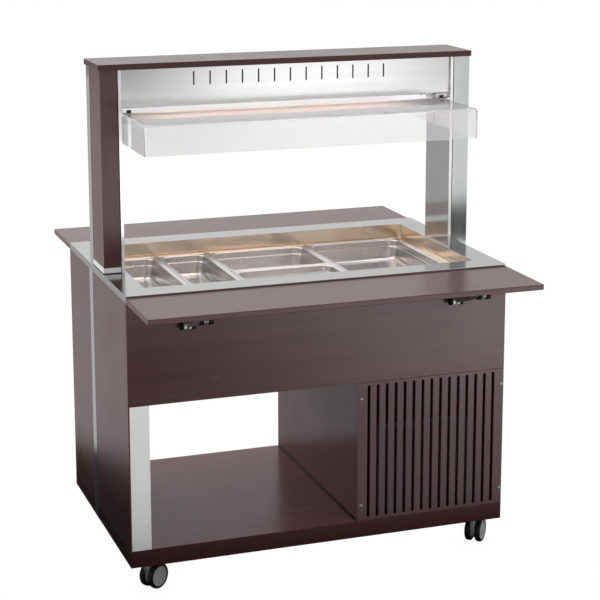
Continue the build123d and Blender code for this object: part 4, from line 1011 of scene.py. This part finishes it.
def makeMarks():
    size = dialSizes
    marks = bmesh.new()
    face, z, half, proud = size["face"], size["z"], size["markHalf"], size["proud"]
    for k in range(size["marks"]):
        angle = math.radians(size["first"] - size["step"] * k)
        local = axes((size["x"], face, z), (-math.cos(angle), 0, math.sin(angle)), (0, 1, 0))
        start = size["ring"]
        end = start + (size["long"] if k % 5 == 0 else size["short"])
        extrude(marks, slab(start, end, -half, half), local, -0.6, proud, 0, 0.08, 1)
    dx, dz = size["panelScrews"]
    for a in (-dx, dx):
        for b in (-dz, dz):
            smallScrew(marks, (size["panelX"] + a, face, z + b), 1, 2.4, 1)
    for a in (-size["inletScrew"], size["inletScrew"]):
        smallScrew(marks, (size["inletX"] + a, face, size["inletZ"]), 1, 2.0, 1)
    x = size["switchX"]
    ring = axes((x, face, z - 17), (1, 0, 0), (0, 1, 0))
    revolve(marks, slab(2.1, 2.9, -0.5, proud), ring, 0, 32)
    brick(marks, (x - half, face - 0.5, z + 14), (x + half, face + proud, z + 20), 0, 0.08)
    finishPiece("controlMarks", marks, ("white", "zinc"), "cabinet", "black_plastic")


def makePointer():
    size = dialSizes
    pointer = bmesh.new()
    x, z, front, half = size["x"], size["z"], size["knobFace"], size["pointerHalf"]
    brick(pointer, (x - half, front - 0.6, z - 4), (x + half, front + 0.2, z + 11), 0, 0.2)
    for k in range(size["ribs"]):
        angle = 2 * math.pi * k / size["ribs"]
        rib = axes((x, size["face"] + 0.5, z), (math.cos(angle), 0, math.sin(angle)), (0, 1, 0))
        extrude(pointer, [(15.6, -0.9), (16.7, -0.5), (16.7, 0.5), (15.6, 0.9)], rib, 1.5, 12.5, 1, 0.2, 1)
    finishPiece("knobPointer", pointer, ("white", "black"), "thermostat_knob", "black_plastic")


def makeHingeScrews():
    size = dialSizes
    screws = bmesh.new()
    for face in (-1, 1):
        for x in size["hinges"]:
            for k in (-1, 0, 1):
                z = size["leafZ"] + (size["middleUp"] if k == 0 else 0)
                smallScrew(screws, (x + k * size["leafScrew"], face * size["leaf"], z), face, 2.6)
    finishPiece("hingeScrews", screws, ("zinc",), "cabinet", "zinc_steel")


makeMarks()
makePointer()
makeHingeScrews()
print("marks and small screws made")


# the stage is plain white to the eye and through the clear guards
def seenPlainly(tree):
    path = put(tree, "LightPath").outputs
    return math2(tree, "MAXIMUM", path["Is Camera Ray"], path["Is Transmission Ray"])


# studio light from all round, darker ahead of the object
worldLook = {
    "lift": (-0.1, 0.9, 0.78, 1.12), "horizon": (0.06, 0.17, 0.02, 0), "aside": (0.2, 0.5, 1.0, 0.85),
    "ahead": (-0.9, 0.2), "aheadSides": (-1, 1, 0.2, 0.55),
    "low": (0.03, 0.2, 1, 0), "lowSides": (-0.5, 0.5, 0.2, 1),
}


def makeWorld():
    look = worldLook
    world = bpy.data.worlds.new("studio")
    bpy.context.scene.world = world
    world.use_nodes = True
    tree = world.node_tree
    back = tree.nodes["Background"]
    toward = splitUp(tree, put(tree, "TexCoord").outputs["Generated"])
    lift = mapRange(tree, toward["Z"], *look["lift"])
    lift = math2(tree, "ADD", lift, ease(tree, toward["Z"], *look["horizon"]))
    aside = ease(tree, toward["X"], *look["aside"])
    dim = ease(tree, toward["Y"], *look["ahead"], mapRange(tree, toward["X"], *look["aheadSides"]), 1)
    low = times(tree, ease(tree, toward["Z"], *look["low"]), mapRange(tree, toward["X"], *look["lowSides"]))
    strength = times(tree, times(tree, lift, aside), math2(tree, "MAXIMUM", dim, low))
    feed(tree, back, {"Strength": strength, "Color": (1, 1, 1, 1)})
    plain = put(tree, "Background", {"Color": (1, 1, 1, 1), "Strength": 1.0})
    mix = put(tree, "MixShader", {0: seenPlainly(tree), 1: back.outputs[0], 2: plain.outputs[0]})
    feed(tree, tree.nodes["World Output"], {"Surface": mix.outputs[0]})


# the finishes mirror a graded studio floor: zones ahead of the object, bright ground beside and behind it
floorLook = {
    "near": (-0.5, 1.2, 0.55, 1.18), "outer": (0.25, 1.9, 0.03, 4.0), "outerFrom": (-1.5, -2.3),
    "middle": (1.2, 2.2, 2.4, 0.9), "middleFrom": (-3.62, -3.85), "farFrom": (-7.5, -9.2),
    "farFocus": (-1.64, 4.65), "farLeft": (0.235, 0.335, 0.37, 1.64), "farRight": (0.39, 0.48, 1, 0.45),
    "shadow": 0.97, "shadowFrom": (-3.55, -3.8), "shadowTo": (-4.4, -5.2, 1, 0), "shadowSide": (1.9, 2.2),
    "ahead": (-0.61, -0.76), "tail": (-12.9, -13.6, 1, 0.4),
    "pastLeft": (1.88, 2.24, 2.52), "pastRear": (0.6, 0.68, 0.92), "leftToRear": (-0.6, -0.54),
    "close": 0.02, "behind": 0.48, "rearEnd": (11.2, 12, 1, 0.45),
    "contact": 0.06, "contactShadowTone": 0.93, "half": 40,
}


def gradeAhead(tree, x, y):
    look = floorLook
    gain = mapRange(tree, x, *look["near"])
    gain = blendValue(tree, ease(tree, y, *look["outerFrom"]), gain, mapRange(tree, x, *look["outer"]))
    gain = blendValue(tree, ease(tree, y, *look["middleFrom"]), gain, ease(tree, x, *look["middle"]))
    focusX, focusY = look["farFocus"]
    bearing = math2(tree, "DIVIDE", math2(tree, "SUBTRACT", x, focusX), math2(tree, "SUBTRACT", focusY, y))
    far = times(tree, ease(tree, bearing, *look["farLeft"]), ease(tree, bearing, *look["farRight"]))
    gain = blendValue(tree, ease(tree, y, *look["farFrom"]), gain, far)
    shadow = ease(tree, y, *look["shadowFrom"], 0, look["shadow"])
    shadow = times(tree, shadow, ease(tree, y, *look["shadowTo"]))
    shadow = times(tree, shadow, ease(tree, x, *look["shadowSide"]))
    gain = times(tree, gain, math2(tree, "SUBTRACT", 1.0, shadow))
    ahead = times(tree, ease(tree, y, *look["ahead"]), gain)
    return times(tree, ahead, mapRange(tree, y, *look["tail"]))


def gradeBehind(tree, x, y):
    look = floorLook
    sides = []
    for slope, low, high in (look["pastLeft"], look["pastRear"]):  # bright past a slanted line
        across = math2(tree, "SUBTRACT", y, times(tree, x, slope))
        sides.append(ease(tree, across, low, high, look["close"], look["behind"]))
    behind = blendValue(tree, mapRange(tree, x, *look["leftToRear"]), *sides)
    return times(tree, behind, ease(tree, y, *look["rearEnd"]))


def makeFloor():
    look = floorLook
    mesh = bmesh.new()
    bmesh.ops.create_grid(mesh, x_segments=4, y_segments=4, size=look["half"])
    data = bpy.data.meshes.new("floor")
    mesh.to_mesh(data)
    mesh.free()
    floor = addObject("floor", data)
    material = bpy.data.materials.new("floor")
    material.use_nodes = True
    tree = material.node_tree
    tree.nodes.remove(tree.nodes["Principled BSDF"])
    spot = splitUp(tree, put(tree, "NewGeometry").outputs["Position"])
    ahead, behind = [grade(tree, spot["X"], spot["Y"]) for grade in (gradeAhead, gradeBehind)]
    glow = put(tree, "Emission", {"Strength": math2(tree, "MAXIMUM", ahead, behind)})
    # painted shadow: the floor that the camera sees is darker close to the object, by ambient occlusion
    contact = put(tree, "AmbientOcclusion", {"Distance": look["contact"]}, samples=8).outputs["AO"]
    seen = put(tree, "Emission", {"Strength": mapRange(tree, contact, 0, 1, look["contactShadowTone"], 1.0)})
    mix = put(tree, "MixShader", {0: seenPlainly(tree), 1: glow.outputs[0], 2: seen.outputs[0]})
    feed(tree, tree.nodes["Material Output"], {"Surface": mix.outputs[0]})
    data.materials.append(material)


# a dark card beside the left panels keeps light off their lower part; the camera and mirrors don't see it
cardSizes = {"x": -0.75, "front": -0.7, "rear": 1.05, "foot": 0.08, "frontTop": 0.56, "rearTop": 0.2}


def makeFlagCard():
    size = cardSizes
    front, rear, foot = size["front"], size["rear"], size["foot"]
    outline = [(front, foot), (rear, foot), (rear, size["rearTop"]), (front, size["frontTop"])]
    card = bpy.data.meshes.new("flagCard")
    card.from_pydata([(size["x"], y, z) for y, z in outline], [], [(0, 1, 2, 3)])
    card.materials.append(looks["rubber"])
    flag = addObject("flagCard", card)
    flag.visible_camera = False
    flag.visible_glossy = False


# each light: place, aim, size, power, colour and spread in degrees
lampLook = {
    "overhead": ((0.2, 0.2, 4.4), (0, 0, 0.6), (6.5, 5.0), 85, (1, 0.99, 0.98), 180),
    "keyRight": ((4.4, -4.2, 2.9), (0, 0, 0.8), (3.0, 3.0), 37, (1, 0.99, 0.97), 180),
    "fillLeft": ((-4.6, 0.4, 2.4), (0, 0, 0.9), (2.2, 2.6), 80, (0.99, 0.99, 1), 180),
    "rearLeft": ((-2.8, 4.2, 2.3), (0, 0, 0.4), (2.6, 2.0), 120, (1, 0.99, 0.98), 180),
    "warmLamp": ((0, 0, 1.371), (0, 0, 0.8), (0.8, 0.05), 9, (1, 0.7, 0.54), 70),
}


def makeLights():
    for name, (place, aim, size, power, colour, spread) in lampLook.items():
        light = bpy.data.lights.new(name, "AREA")
        light.shape = "RECTANGLE"
        light.size, light.size_y = size
        light.energy = power
        light.spread = math.radians(spread)
        light.color = colour
        lamp = addObject(name, light)
        lamp.location = place
        lamp.rotation_euler = (Vector(aim) - Vector(place)).to_track_quat("-Z", "Y").to_euler()
        lamp.visible_camera = False
        lamp.visible_glossy = name == "overhead"


makeWorld()
makeFloor()
makeFlagCard()
makeLights()
print("stage and lights made")

# camera, fitted to the photograph; the focal length and the picture's width are in pixels
viewing = {
    "azimuth": -19.6488, "elevation": 11.6326, "distance": 5.2172, "aim": (0.0767, 0, 0.9920),
    "focal": 1727.94, "picture": 600, "sensor": 36, "shift": (-0.01, -0.14), "farthest": 200,
}
camera = addObject("camera", bpy.data.cameras.new("camera"))
turn, tip = math.radians(viewing["azimuth"]), math.radians(viewing["elevation"])
forward = Vector((-math.sin(turn) * math.cos(tip), math.cos(turn) * math.cos(tip), -math.sin(tip)))
camera.location = Vector(viewing["aim"]) - forward * viewing["distance"]
camera.rotation_euler = forward.to_track_quat("-Z", "Y").to_euler()
camera.data.sensor_width = viewing["sensor"]
camera.data.lens = viewing["focal"] * viewing["sensor"] / viewing["picture"]
camera.data.shift_x, camera.data.shift_y = viewing["shift"]
camera.data.clip_end = viewing["farthest"]
bpy.context.scene.camera = camera
bpy.context.scene.view_settings.view_transform = "Standard"
print("camera set")
